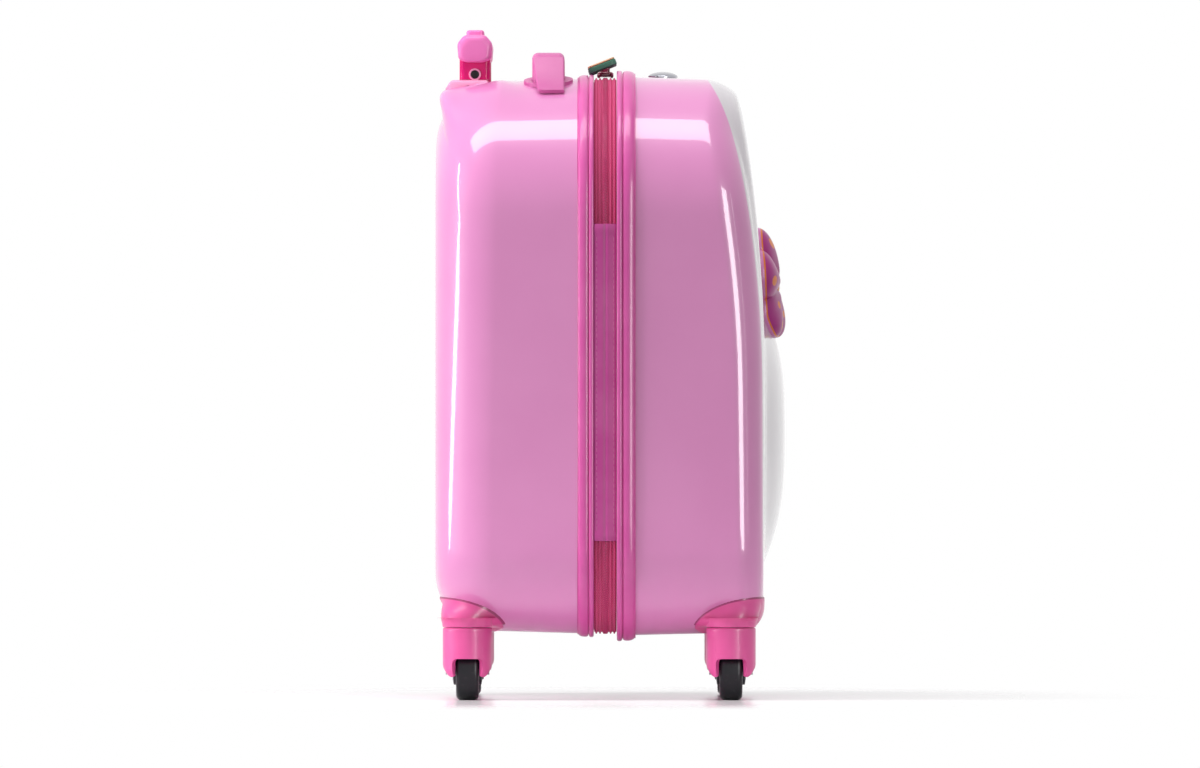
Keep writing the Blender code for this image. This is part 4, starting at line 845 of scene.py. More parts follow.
class SUITCASE_OT_shells(Suitcase, bpy.types.Operator):
    """Make the two gloss shells and the front's printed panel"""

    bl_idname = "suitcase.shells"
    bl_label = "Shells"

    def make(self, sizes, colours):
        def printed(recipe, film):
            return self.printed(recipe, film, colours)

        for node, rows, body, front in (("rear_shell", rear_rows, "rear_case", None),
                                        ("front_shell", front_rows, "lid", printed)):
            skin = np.concatenate((rows(), rows(-SHELL_WALL)[::-1]))
            finish = gloss_shell(node.replace("_", " "), colours.shell, front)
            Build().grid(skin, loop_rows=True).piece(f"{node}_skin", finish, body, "shell",
                                                     (node,), sharp=50.0)

    def printed(self, recipe, film, colours):
        """Pale panel with small flowers and leaves, all flat print.

        The panel starts past a smooth minimum of the lid's front edge and a line
        that slants over the top: the mean less the root of (half the gap squared
        plus 9.9 mm squared).
        """
        x, y, z = recipe.axes()
        behind, slant_x, slant, rounding, foot = 0.0002, 0.4744, 0.918, 0.0000975, 0.0985
        slope = ((z - LEAN_START).higher(0.0) / (SHELL_TOP - LEAN_START)) ** 2.0
        face = FRONT_X - behind - EDGE_LEAN * slope
        over_top = slant_x - slant * z
        apart = (face - over_top) * 0.5
        limit = (face + over_top) * 0.5 - (apart * apart + rounding) ** 0.5
        inside = (x - limit).rise(-0.0002, 0.0003) * z.rise(foot, foot + 0.0007)
        film = recipe.mix(inside, film, colours.panel)
        for place, radius, hue in self.motifs(colours):
            film = self.bloom(recipe, film, y - place[0], z - place[1], radius, hue,
                              colours.orange)
        for place, turn, length in self.leaves():
            film = self.leaf(recipe, film, y - place[0], z - place[1], math.radians(turn),
                             length / 2, colours.leaf)
        return film

    def motifs(self, colours):
        """Places, radii and hues of the small printed flowers."""
        rose, plum = lighter(colours.rim, 0.15), colours.flower
        return (((0.072, 0.352), 0.0135, plum), ((0.094, 0.300), 0.0100, rose),
                ((-0.094, 0.352), 0.0105, rose), ((-0.092, 0.110), 0.0135, plum),
                ((0.058, 0.104), 0.0100, rose), ((0.096, 0.128), 0.0125, plum),
                ((0.026, 0.385), 0.0095, rose), ((-0.050, 0.100), 0.0085, rose))

    def leaves(self):
        """Places, turns in degrees and lengths of the printed leaves."""
        return (((0.089, 0.338), 40, 0.012), ((0.055, 0.361), 160, 0.011),
                ((-0.078, 0.363), 60, 0.010), ((-0.075, 0.105), -15, 0.012),
                ((0.078, 0.115), 200, 0.011), ((0.082, 0.312), 130, 0.009),
                ((0.010, 0.378), 200, 0.009), ((-0.106, 0.128), 100, 0.010))

    def bloom(self, recipe, film, across, up, radius, hue, orange):
        """Ten petals: the radius swells with the size of the sine of five times the angle."""
        away = across.reach(up)
        edge = (5 * up.turn(across)).sine().size() * (0.30 * radius) + 0.70 * radius
        film = recipe.mix((away - edge).rise(0.0003, -0.0003), film, hue)
        return recipe.mix(away.rise(radius * 0.30, radius * 0.26), film, orange)

    def leaf(self, recipe, film, across, up, turn, half, green):
        """A pointed leaf: half width is a share of 1 minus the square of the place along it."""
        cos, sin = math.cos(turn), math.sin(turn)
        along = (across * cos + up * sin) / half
        aside = (up * cos - across * sin).size() / half
        width = (1.0 - along * along) * 0.42
        return recipe.mix((aside - width).rise(0.03, -0.03), film, green)


class SUITCASE_OT_flower(Suitcase, bpy.types.Operator):
    """Make the raised flower on the lid"""

    bl_idname = "suitcase.flower"
    bl_label = "Raised flower"

    def make(self, sizes, colours):
        """Rings that shrink from the petals' outline.

        The outline is 0.74 of the radius plus 0.26 of a lobe to the 0.8, a lobe being
        the size of the cosine of half the petals times the angle from the top. The
        height is the root of (1 - share to the 2.6), dipped in the middle and between
        the petals.
        """
        share = np.concatenate(([1.0], 1 - np.linspace(0, 1, 26) ** 1.7))[:, None]
        angle = np.linspace(0, math.tau, 120, endpoint=False)
        lobe = np.abs(np.cos(sizes.petals * (angle - math.pi / 2) / 2))
        reach = FLOWER_RADIUS * (PETAL_ROOT + (1 - PETAL_ROOT) * lobe ** 0.8) * share
        y = FLOWER_PLACE[0] + reach * np.cos(angle)
        z = FLOWER_PLACE[1] + reach * np.sin(angle)
        swell = np.sqrt(np.maximum(0, 1 - share ** 2.6)) * (0.86 + 0.14 * lobe)
        dip = 1 - 0.22 * np.exp(-(share / 0.16) ** 2) - 0.10 * (1 - lobe ** 2)
        rise = FLOWER_HEIGHT * swell * dip
        rise[0] = -0.003
        rows = xyz(front_x(y, z) + rise, y, z)
        Build().grid(capped(rows, both=False)).piece(
            "raised_flower", self.finish(sizes, colours), "lid", "shell", sharp=70.0)
        self.centre(colours)

    def finish(self, sizes, colours):
        """Plum with two dots on each petal, an orange line near its edge and a pink foot."""
        plum, orange = colours.flower, colours.orange
        recipe = Recipe("raised flower", plum, 0.34, Coat_Weight=0.15, Coat_Roughness=0.06,
                        Specular_IOR_Level=0.2)
        _, y, z = recipe.axes()
        across, up = y - FLOWER_PLACE[0], z - FLOWER_PLACE[1]
        away = across.reach(up)
        lobe = ((up.turn(across) - math.pi / 2) * (sizes.petals / 2)).cosine().size()
        edge = (PETAL_ROOT + (1 - PETAL_ROOT) * lobe ** 0.8) * FLOWER_RADIUS
        paint = recipe.mix((away / edge).rise(0.2, 1.0), lighter(plum, 0.10), plum)
        paint = recipe.mix((edge - away).rise(0.0012, 0.0010), paint, orange)
        paint = recipe.mix((edge - away).rise(0.0006, 0.0004), paint, colours.shell)
        for index in range(sizes.petals):
            turn = math.pi / 2 + math.tau * index / sizes.petals
            for reach, twist, share in ((0.74, 0.20, 1.0), (0.52, -0.26, 0.72)):
                left = across - FLOWER_RADIUS * reach * math.cos(turn + twist)
                over = up - FLOWER_RADIUS * reach * math.sin(turn + twist)
                radius = sizes.dot_radius * share
                paint = recipe.mix(left.reach(over).rise(radius, radius * 0.9), paint, orange)
        recipe.set("Base Color", paint)
        recipe.bump(recipe.noise(120.0, 1.0), 0.00004)
        return recipe.material

    def centre(self, colours):
        """A low button in the flower's middle: a spherical cap on a straight foot."""
        radius, height, foot = 0.0078, 0.0026, 0.004
        share = np.linspace(1, 0, 12)[:, None]
        y, z = oval(radius, radius, 48).T
        base = front_x(*FLOWER_PLACE) + FLOWER_HEIGHT * 0.74
        rows = xyz(base + height * np.sqrt(np.maximum(0, 1 - share ** 2)),
                   FLOWER_PLACE[0] + y * share, FLOWER_PLACE[1] + z * share)
        rows = np.concatenate((rows[:1] - (foot, 0, 0), rows))
        finish = moulded("flower centre", colours.orange, 0.25, coat=0.8)
        Build().grid(capped(rows, both=False)).piece("flower_centre", finish, "lid", "shell",
                                                     sharp=50.0)


class SUITCASE_OT_rims(Suitcase, bpy.types.Operator):
    """Make the ridged rims that cap both shells"""

    bl_idname = "suitcase.rims"
    bl_label = "Rims"

    def make(self, sizes, colours):
        finish = moulded("rim", colours.rim, 0.30, coat=0.25)
        for node, mouth_x, depth, proud, outward, grow, body in (
                ("rear_rim", REAR_RIM_MOUTH_X, 0.0115, 0.0024, -1, 0.0, "rear_case"),
                ("front_rim", FRONT_RIM_MOUTH_X, 0.0131, 0.0039, 1, LID_OVERSIZE, "lid")):
            rows = along_outline(self.section(depth, proud), mouth_x, outward, grow, outline())
            Build().grid(rows, loop_rows=True).piece(f"{node}_band", finish, body, "rim", (node,),
                                                     sharp=60.0)

    def section(self, depth, proud):
        """Flange, bead, two stepped ridges and a thin lip on the shell."""
        low, step, flange = -(SHELL_WALL + CLEAR), 0.0009, 0.0018
        bead = np.radians(np.linspace(170, 15, 7))
        head = np.stack((0.14 * (1 + np.cos(bead)) * depth, proud - step + step * np.sin(bead)), 1)
        share = np.linspace(0, 1, 12)
        ridges = 1.0 + 0.9 * share - 1.1 * np.sin(share * math.pi) ** 0.7
        band = np.stack((depth * (0.34 + 0.58 * share), proud - step * ridges), 1)
        groove = [(depth * 0.30, proud - 2.2 * step), (depth * 0.33, proud - 2.2 * step)]
        lip = [(depth * 0.94, proud - 2.4 * step), (depth * 0.99, proud - 2.2 * step),
               (depth, proud - 2.8 * step), (depth, CLEAR), (flange, CLEAR), (flange, low)]
        return np.concatenate(([(0, low)], head, groove, band, lip))


class SUITCASE_OT_zip(Suitcase, bpy.types.Operator):
    """Make the zip's tapes, corded edges and teeth"""

    bl_idname = "suitcase.zip"
    bl_label = "Zip"

    def make(self, sizes, colours):
        finish = woven("zip tape", colours.tape)
        tooth = moulded("zip teeth", lighter(colours.tape, -0.25), 0.35)
        apart = 0.0012
        ring = outline(gap=(HINGE_LOW[2] - apart, HINGE_HIGH[2] + apart))
        for half, mouth_x, outward, body in (("rear_zip", REAR_RIM_MOUTH_X, 1, "rear_case"),
                                             ("front_zip", FRONT_RIM_MOUTH_X, -1, "lid")):
            section = self.section()
            rows = along_outline(section, mouth_x, outward, 0.0, ring)
            along = path_length(rows[:, 0])[:-1]
            spread = grid_spread(np.concatenate(([0], along, along[-1:])), path_length(section))
            Build().grid(capped(rows), spread=spread).piece(
                f"{half}_tape_cloth", finish, body, "zip", (f"{half}_tape",), sharp=60.0)
            self.teeth(mouth_x, outward, ring, sizes.teeth_pitch).piece(
                f"{half}_teeth", tooth, body, "zip", sharp=50.0)
        # A dark sheet of painted shade behind the teeth, in the tape's colour darkened.
        self.flap(ring, moulded("zip flap", lighter(colours.tape, -0.55), 0.8))

    def flap(self, ring, finish):
        """A thin dark strip behind the teeth, on the rear case: painted shade that hides the
        inside.
        """
        near, far, top, low = -0.0012, 0.0108, -0.0029, -0.0035
        section = softened([(near, top), (far, top), (far, low), (near, low)], 0.0002, 2)
        rows = capped(along_outline(section, REAR_RIM_MOUTH_X, 1, 0.0, ring))
        Build().grid(rows).piece("zip_flap", finish, "rear_case", "zip", sharp=60.0)

    def section(self):
        """Flat tape with two raised cords and a rounded bed for the teeth."""
        reach, top, thick, cord = 0.0081 - CLEAR / 2, -0.0014, 0.0010, 0.0014
        depth = np.linspace(CLEAR, reach - 0.0003, 44)
        cords = sum(cord * np.exp(-((depth - place) / 0.00072) ** 4) for place in (0.0018, 0.0044))
        bed = 0.0010 / (1 + np.exp(-(depth - 0.0062) / 0.0002))
        upper = np.stack((depth, top + cords + bed), 1)
        lower = np.stack((depth[::-1], np.full(len(depth), top - thick)), 1)
        nose = np.array([(reach, top - 0.2 * thick), (reach, top - 0.7 * thick)])
        return np.concatenate((upper, nose, lower))

    def teeth(self, mouth_x, outward, ring, pitch):
        """Small arched coil turns, one every pitch along the edge, offset by half on one side."""
        length = path_length(np.stack(ring[:2], 1))[:-1]
        phase = 0.0 if outward > 0 else pitch / 2
        place = np.arange(pitch + phase, length[-1] - pitch, pitch)
        across, up, out_y, out_z = (np.interp(place, length, value) for value in ring)
        norm = np.hypot(out_y, out_z)
        out_y, out_z = out_y / norm, out_z / norm
        turns = np.stack((xyz(outward, 0 * out_y, 0), xyz(0, out_y, -out_z), xyz(0, out_z, out_y)),
                         1)
        half, start, reach, sink, tall = pitch * 0.23, 0.0062, 0.0025, -0.0009, 0.0010
        arch = [(0, -0.8), (0.08, 0.55), (0.30, 1.0), (0.74, 1.0), (0.95, 0.4), (1.0, -0.8)]
        form = np.array([(start + reach * a, sink + tall * b, side * half * (0.8 if b > 0.9 else 1))
                         for side in (-1, 1) for a, b in arch])
        return Build().repeat(form, tube_faces(len(arch), 2), xyz(mouth_x, across, up), turns)


class SUITCASE_OT_hinge(Suitcase, bpy.types.Operator):
    """Make the soft hinge strip with its hems and stitching"""

    bl_idname = "suitcase.hinge"
    bl_label = "Hinge strip"

    def make(self, sizes, colours):
        """A band that swells by the sine of the way across to the 0.8, creased in its middle."""
        low, high = HINGE_LOW, HINGE_HIGH
        tuck = 0.0028
        finish = moulded("hinge strip", colours.strip, 0.48, grain=700.0, depth=0.00006)
        across = np.linspace(0, 1, 41)
        swell = 0.0009 * np.sin(across * math.pi) ** 0.8
        crease = 0.0005 * np.exp(-((across - 0.5) / 0.06) ** 2)
        outer = low[1] + 0.0010 - swell + crease
        section_x = low[0] + (high[0] - low[0]) * np.concatenate((across, across[::-1]))
        section_y = np.concatenate((outer, np.full_like(outer, high[1] - 0.0001)))
        height = np.linspace(low[2] - tuck, high[2] + tuck, 90)[:, None]
        hem = 0.0005 * (np.exp(-((height - low[2] - 0.001) / 0.0022) ** 4)
                        + np.exp(-((height - high[2] + 0.001) / 0.0022) ** 4))
        rows = xyz(section_x, section_y - hem * (section_y < high[1] - 0.0005), height)
        strip = Build().grid(capped(rows)).piece("hinge_strip_cloth", finish, None, "strip",
                                                 ("hinge_strip",), sharp=50.0)
        stitches = self.stitches(sizes, colours, low, high)
        for piece in (strip, stitches):
            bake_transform(piece)

    def stitches(self, sizes, colours, low, high):
        """Two rows of stitches: each is a small six-sided bead with tapered ends."""
        inset, end, depth = 0.0018, 0.006, 0.0007
        height = np.arange(low[2] + end, high[2] - end, sizes.stitch_pitch)
        stations = ((-0.36, 0.25), (-0.28, 1.0), (0.28, 1.0), (0.36, 0.25))
        form = np.concatenate([xyz(*(oval(0.00035, 0.00030, 6) * width).T,
                                   share * sizes.stitch_pitch) for share, width in stations])
        build = Build()
        for x in (low[0] + inset, high[0] - inset):
            build.repeat(form, tube_faces(6, len(stations)), xyz(x, low[1] + depth, height),
                         np.tile(np.eye(3), (len(height), 1, 1)))
        thread = moulded("hinge thread", lighter(colours.strip, 0.07), 0.6)
        return build.piece("hinge_stitches", thread, None, "strip", sharp=60.0)


def tube_faces(sides, rings):
    """Faces of a short tube of rings, with an end face at each side."""
    faces = [[sides * i + j, sides * i + (j + 1) % sides, sides * (i + 1) + (j + 1) % sides,
              sides * (i + 1) + j] for i in range(rings - 1) for j in range(sides)]
    last = sides * (rings - 1)
    return faces + [list(range(sides))[::-1], list(range(last, last + sides))]


class SUITCASE_OT_casters(Suitcase, bpy.types.Operator):
    """Make the corner housings, forks, hubs and tyres"""

    bl_idname = "suitcase.casters"
    bl_label = "Casters"

    def make(self, sizes, colours):
        def painted_seam_shade(recipe, film):
            """A thin dark line of painted shade where the housing's skin meets the shell."""
            x, _, z = recipe.axes()
            across = (x - BACK_X).size().lower((x - FRONT_X).size()) / HOUSING_REACH[0]
            line = across.reach((z - SHELL_BOTTOM) / HOUSING_REACH[2]).rise(0.955, 0.985)
            # Painted shade: the caster colour darkened in a thin band along the skin's edge.
            return recipe.mix(line, film, lighter(colours.caster, -0.55))

        pink = moulded("caster", colours.caster, 0.33, grain=1800.0, coat=0.15)
        # The printed hook here carries painted shade, not print: the dark line on the seam.
        seam_shaded = moulded("corner housing", colours.caster, 0.33, grain=1800.0, coat=0.15,
                        coat_roughness=0.03, printed=painted_seam_shade)
        dark = moulded("hub", colours.dark, 0.42)
        tyre = rubber("tyre", lighter(colours.dark, -0.5))
        steel = metal("caster steel", (0.50, 0.50, 0.52), 0.32)
        for corner in CORNERS:
            self.housing(corner, seam_shaded)
            self.fork(corner, pink)
            self.wheel(corner, tyre, dark)
            keep(f"kingpin_{corner}", steel)
            keep(f"axle_{corner}", steel)

    def housing(self, corner, finish):
        """A skin over the shell's lower corner, and a flared column down to the fork.

        The skin stands off the shell inside an ellipse seen from the side and a
        superellipse of power 3 seen from above, and falls under the shell's
        surface where either is passed. Over the column it swells out along the
        corner's diagonal, to the column's radius times 1 - 0.62 w * w, w being how
        far off the diagonal a point lies in those radii, and less with the cube of
        the way up to the ellipse.
        """
        rear = corner.startswith("rear")
        side = -1 if corner.endswith("near") else 1
        mouth_x, face, radius, grow = (
            (REAR_MOUTH_X, back_face, rear_radius, 0.0) if rear
            else (FRONT_MOUTH_X, front_edge_x, front_radius, LID_OVERSIZE))
        angle = np.radians(np.linspace(-24, -90, 80))
        low_y = HALF_WIDTH - BOTTOM_CORNER
        run = np.linspace(low_y, low_y - 0.016, 18)[1:]
        ring = [np.concatenate(pair) for pair in (
            (side * (low_y + BOTTOM_CORNER * np.cos(angle)), side * run),
            (SHELL_BOTTOM + BOTTOM_CORNER * (1 + np.sin(angle)), SHELL_BOTTOM + 0 * run),
            (side * np.cos(angle), 0 * run), (np.sin(angle), 0 * run - 1))]
        point, normal = self.corner_surface(mouth_x, face, radius, grow, ring)
        offset = (point - (face(SHELL_BOTTOM), side * HALF_WIDTH, SHELL_BOTTOM)) / HOUSING_REACH
        seen = np.hypot(offset[..., 0], offset[..., 2])
        plan = (np.abs(offset[..., 0]) ** 3 + np.abs(offset[..., 1]) ** 3) ** (1 / 3)
        share = np.clip((1.030 - np.maximum(seen, plan)) / 0.045, 0, 1)
        skin = (HOUSING_SKIN + HOUSING_SINK) * np.sqrt(1 - (1 - share) ** 2) - HOUSING_SINK
        axis = swivel_axis(corner)
        out = np.array((-1.0 if rear else 1.0, side)) / math.sqrt(2)
        apart = point[..., :2] - axis
        height = point[..., 2] - SWIVEL_Z
        column_radius = np.interp(height, *np.array(FLARE).T)
        aside = np.abs(apart @ (-out[1], out[0])) / column_radius
        goal = column_radius * (1 - 0.62 * aside ** 2 - 0.8 * np.maximum(0, aside - 0.7) ** 2)
        edge = HOUSING_REACH[2] * np.sqrt(np.maximum(0, 1 - offset[..., 0] ** 2))
        way_up = np.clip(height / np.maximum(SHELL_BOTTOM + edge - SWIVEL_Z, 1e-4), 0, 1)
        swell = np.maximum(0, goal - apart @ out) * (1 - way_up ** 3) * smooth(height / 0.005)
        outer = point + normal * skin[..., None]
        outer[..., :2] += (swell * (share > 0))[..., None] * out
        inner = point - normal * HOUSING_SINK
        build = Build().sandwich(cleared(outer, [axis]), cleared(inner, [axis]), share > 0)
        column = [(0.0, SWIVEL_Z), (0.004, SWIVEL_Z), (0.0165, SWIVEL_Z),
                  *((reach, SWIVEL_Z + rise) for rise, reach in FLARE),
                  (0.0, SWIVEL_Z + FLARE[-1][0])]
        tower = lathe(softened(column, 0.0004, 3)[4:-4], (*axis, 0))
        tower[..., 2] = np.minimum(tower[..., 2], SWIVEL_Z + 0.0065)
        build.grid(tower).piece(f"housing_skin_{corner}", finish, "rear_case" if rear else "lid",
                                "caster", (f"corner_housing_{corner}",), sharp=40.0)

    def corner_surface(self, mouth_x, face, radius, grow, ring):
        """Points and normals of a shell near a lower corner, a row for each depth."""
        y, z, normal_y, normal_z = ring
        outward = math.copysign(1.0, face(MIDDLE_Z) - mouth_x)
        rounding, reach = radius(z), 0.056
        stations = [(share, 0.0, 0.0) for share in np.linspace(0, 1, 30, endpoint=False)]
        stations += [(1.0, turn, 0.0) for turn in np.radians(np.linspace(0, 90, 58))]
        stations += [(1.0, math.pi / 2, inset) for inset in np.linspace(0.001, 0.014, 14)]
        points, normals = [], []
        for share, turn, inset in stations:
            out = grow - SHELL_DRAFT - rounding * (1 - math.cos(turn)) - inset
            height = z + normal_z * out
            depth = (reach - rounding) * (1 - share) + rounding * (1 - math.sin(turn))
            points.append(xyz(face(height) - outward * depth, y + normal_y * out, height))
            normals.append(xyz(outward * math.sin(turn), normal_y * math.cos(turn),
                               normal_z * math.cos(turn)))
        return np.array(points), np.array(normals)

    def fork(self, corner, finish):
        """A hood: a cylinder whose lower edge follows the slot and the rounded cheeks.

        Over the slot the edge is level with rounded ends. On the cheeks it rises
        with the distance from the slot to the 2.4, and the wall draws in above it.
        """
        low, high = corners(f"fork_{corner}")
        radius, top = (high[0] - low[0]) / 2, high[2]
        centre = (low + high) / 2
        slot, slot_top, slot_round = 0.0107, 0.0289, 0.0030
        cheek_low, cheek_rise, lip = 0.0160, 0.0046, 0.0008
        tuck_in, tuck_up = 0.0016, 0.0045
        brim, wall, ceiling = 0.0012, 0.0036, slot_top + 0.0125
        gate = math.acos(slot / radius)
        cheek, web = np.linspace(-gate, gate, 31), np.linspace(gate, math.pi - gate, 33)
        angle = np.concatenate((cheek, web, cheek + math.pi, web + math.pi))
        on_cheek = np.repeat((True, False, True, False), (31, 33, 31, 33))
        x, y = radius * np.cos(angle), radius * np.sin(angle)
        beside = np.clip((np.abs(x) - slot) / (radius - slot), 0, 1)
        under = cheek_low + lip * np.exp(-(beside / 0.12) ** 2) + cheek_rise * beside ** 2.4
        over = np.maximum(0, np.abs(x) - (slot - slot_round))
        bridge = slot_top - slot_round + np.sqrt(np.maximum(0, slot_round ** 2 - over ** 2))
        edge = np.where(on_cheek, under, bridge)
        height = edge + (top - brim - edge) * np.linspace(0, 1, 14)[:, None]
        tuck = tuck_in * np.clip(1 - (height - edge) / tuck_up, 0, 1) ** 2 * on_cheek
        rows = list(xyz(x * (1 - tuck / radius), y * (1 - tuck / radius), height))
        for turn in np.radians((30, 60, 90)):
            inset = 1 - brim * (1 - math.cos(turn)) / radius
            rows.append(xyz(x * inset, y * inset, top - brim * (1 - math.sin(turn))))
        for share, level_z in ((0, top), (0, ceiling), (1 - wall / radius, ceiling),
                               (1 - wall / radius, edge + CLEAR)):
            rows.append(xyz(x * share, y * share, level_z))
        Build().grid(np.array(rows) + (centre[0], centre[1], 0), loop_rows=True).piece(
            f"fork_hood_{corner}", finish, f"fork_{corner}", "caster", (f"fork_{corner}",),
            sharp=42.0)

    def wheel(self, corner, tyre, dark):
        """Tyre with a flat tread and quarter-round shoulders, on a hub with a dished face."""
        low, high = corners(f"tyre_{corner}")
        radius, half = (high[2] - low[2]) / 2, (high[0] - low[0]) / 2
        inner, turn = radius - 0.0065, 0.0035
        angle = np.radians(np.linspace(0, 90, 9))
        shoulder = np.stack((radius - turn + turn * np.sin(angle),
                             half - turn + turn * np.cos(angle)), 1)
        tread = np.concatenate(([(inner, half)], shoulder, shoulder[::-1] * (1, -1),
                                [(inner, -half)]))
        hub_low, hub_high = corners(f"hub_{corner}")
        bore, face, outer, boss = 0.0023, (hub_high[0] - hub_low[0]) / 2, inner - CLEAR, 0.0090
        side = np.array([(bore, face), (boss * 0.55, face), (boss, face - 0.0007),
                         (boss, half + 0.0004), (boss + 0.0008, half - 0.0006),
                         (outer - 0.0016, half - 0.0008), (outer, half)])
        hub = softened(np.concatenate((side, side[::-1] * (1, -1))), 0.0005, 3)
        for name, node, profile, centre, finish, slot in (
                ("tread", "tyre", tread, (low + high) / 2, tyre, "tyre"),
                ("hub_body", "hub", hub, (hub_low + hub_high) / 2, dark, "charcoal")):
            Build().grid(lathe(profile, centre, "x"), loop_rows=True).piece(
                f"{name}_{corner}", finish, f"wheel_{corner}", slot, (f"{node}_{corner}",),
                sharp=50.0)


class SUITCASE_OT_trolley(Suitcase, bpy.types.Operator):
    """Make the trolley's tubes, grip, legs, button, pins and bezel"""

    bl_idname = "suitcase.trolley"
    bl_label = "Trolley"

    def make(self, sizes, colours):
        soft = moulded("grip", colours.grip, 0.34, grain=1300.0)
        gloss = moulded("grip leg", colours.leg, 0.16, depth=0.00001, shine=0.15)
        dark = moulded("lock pin", lighter(colours.dark, -0.8), 0.3, shine=0.1)
        tube = metal("tube", (0.66, 0.66, 0.69), 0.28)
        bezel = moulded("bezel", colours.bezel, 0.32)
        for place, side in (("near", -1), ("far", 1)):
            for stem, body in (("outer_tube", "rear_case"), ("mid_tube", "trolley_middle"),
                               ("inner_tube", "trolley_handle")):
                self.tube(f"{stem}_{place}", body, tube)
            self.pin(f"lock_pin_{place}", side, dark, bezel)
        self.grip(soft, gloss)
        low, high = corners("release_button")
        half = (high - low) / 2
        shape = rounded_rectangle(half[0], half[1], 0.0030)
        Build().grid(aim(prism(shape, -half[2], half[2], 0.0018), "xyz", (low + high) / 2)).piece(
            "button_cap", soft, "release_button", "grip", ("release_button",))
        merged_copy("trolley_bezel", "bezel_saddle", bezel, "rear_case")
        keep("trolley_foot", moulded("trolley foot", colours.dark, 0.5))

    def tube(self, node, body, finish):
        low, high = corners(node)
        radius, half, wall = (high[0] - low[0]) / 2, (high[2] - low[2]) / 2, 0.0009
        profile = [(radius, -half), (radius, half), (radius - wall, half), (radius - wall, -half)]
        rows = lathe(softened(profile, 0.0002, 2), (low + high) / 2)
        Build().grid(rows, loop_rows=True).piece(f"{node}_wall", finish, body, "tube", (node,))

    def grip(self, soft, gloss):
        """Bar with rounded shoulders and a shallow arch below; each leg a rounded column."""
        low, high = corners("trolley_grip")
        middle_x, half_x, half_y = (low[0] + high[0]) / 2, (high[0] - low[0]) / 2, high[1]
        bar_low, leg_y = high[2] - 0.0194, 0.062
        arch_half, arch_rise, turn, lip = 0.053, 0.0038, 0.0045, 0.0022
        shoulder_in, shoulder_down = 0.0050, 0.0060
        end = turn * (1 - np.cos(np.linspace(0, math.pi / 2, 9)))
        run = np.linspace(end[-1] - half_y, half_y - end[-1], 61)[1:-1]
        y = np.concatenate((-half_y + end, run, half_y - end[::-1]))
        past = np.maximum(0, np.abs(y) - half_y + turn)
        tuck = turn - np.sqrt(np.maximum(0, turn ** 2 - past ** 2))
        arch = arch_rise * np.sqrt(np.maximum(0, 1 - (y / arch_half) ** 2))
        wide, under, top = half_x - tuck, bar_low + arch + tuck * 0.3, high[2] - tuck
        right = [(wide, top - shoulder_down), (wide - shoulder_in, top)]
        low_right = [(wide * 0.5, under), (wide * 0.93, under + lip)]
        sections = np.array(low_right[::-1] + [(-x, z) for x, z in low_right]
                            + [(-x, z) for x, z in right] + right[::-1])
        sections = np.array([softened(section, 0.0024, 5)
                             for section in np.moveaxis(sections, 2, 0)])
        rows = xyz(middle_x + sections[..., 0], y[:, None], sections[..., 1])
        Build().grid(capped(rows)).piece("grip_bar", soft, "trolley_handle", "grip",
                                         ("trolley_grip",), sharp=50.0)
        leg = prism(rounded_rectangle(0.0108, 0.0090, 0.0040, 7), low[2], bar_low + 0.004, 0.0002)
        for place, side in (("near", -1), ("far", 1)):
            Build().grid(leg + (middle_x, side * leg_y, 0)).piece(
                f"grip_leg_{place}", gloss, "trolley_handle", "grip")

    def pin(self, node, side, finish, ring):
        """A domed round pin in a thin raised ring."""
        low, high = corners(node)
        radius, dome = (high[2] - low[2]) / 2, 0.0007
        middle = (low + high) / 2
        centre = (middle[0], (low if side < 0 else high)[1], middle[2])
        sweep = np.radians(np.linspace(0, 90, 8))
        cap = [(0, -0.0018), (radius, -0.0018),
               *((radius * math.cos(a), dome * math.sin(a)) for a in sweep)]
        inner, outer = radius + 0.0001, radius + 0.0013
        band = softened([(inner, -0.0014), (outer, -0.0014), (outer, 0.0), (inner, 0.0002)],
                        0.0002, 2)
        Build().grid(lathe(np.array(cap) * (1, side), centre, "y", 40)).piece(
            f"{node}_cap", finish, "trolley_handle", "charcoal", (node,))
        Build().grid(lathe(band * (1, side), centre, "y", 40), loop_rows=True).piece(
            f"{node}_ring", ring, "trolley_handle", "grip")


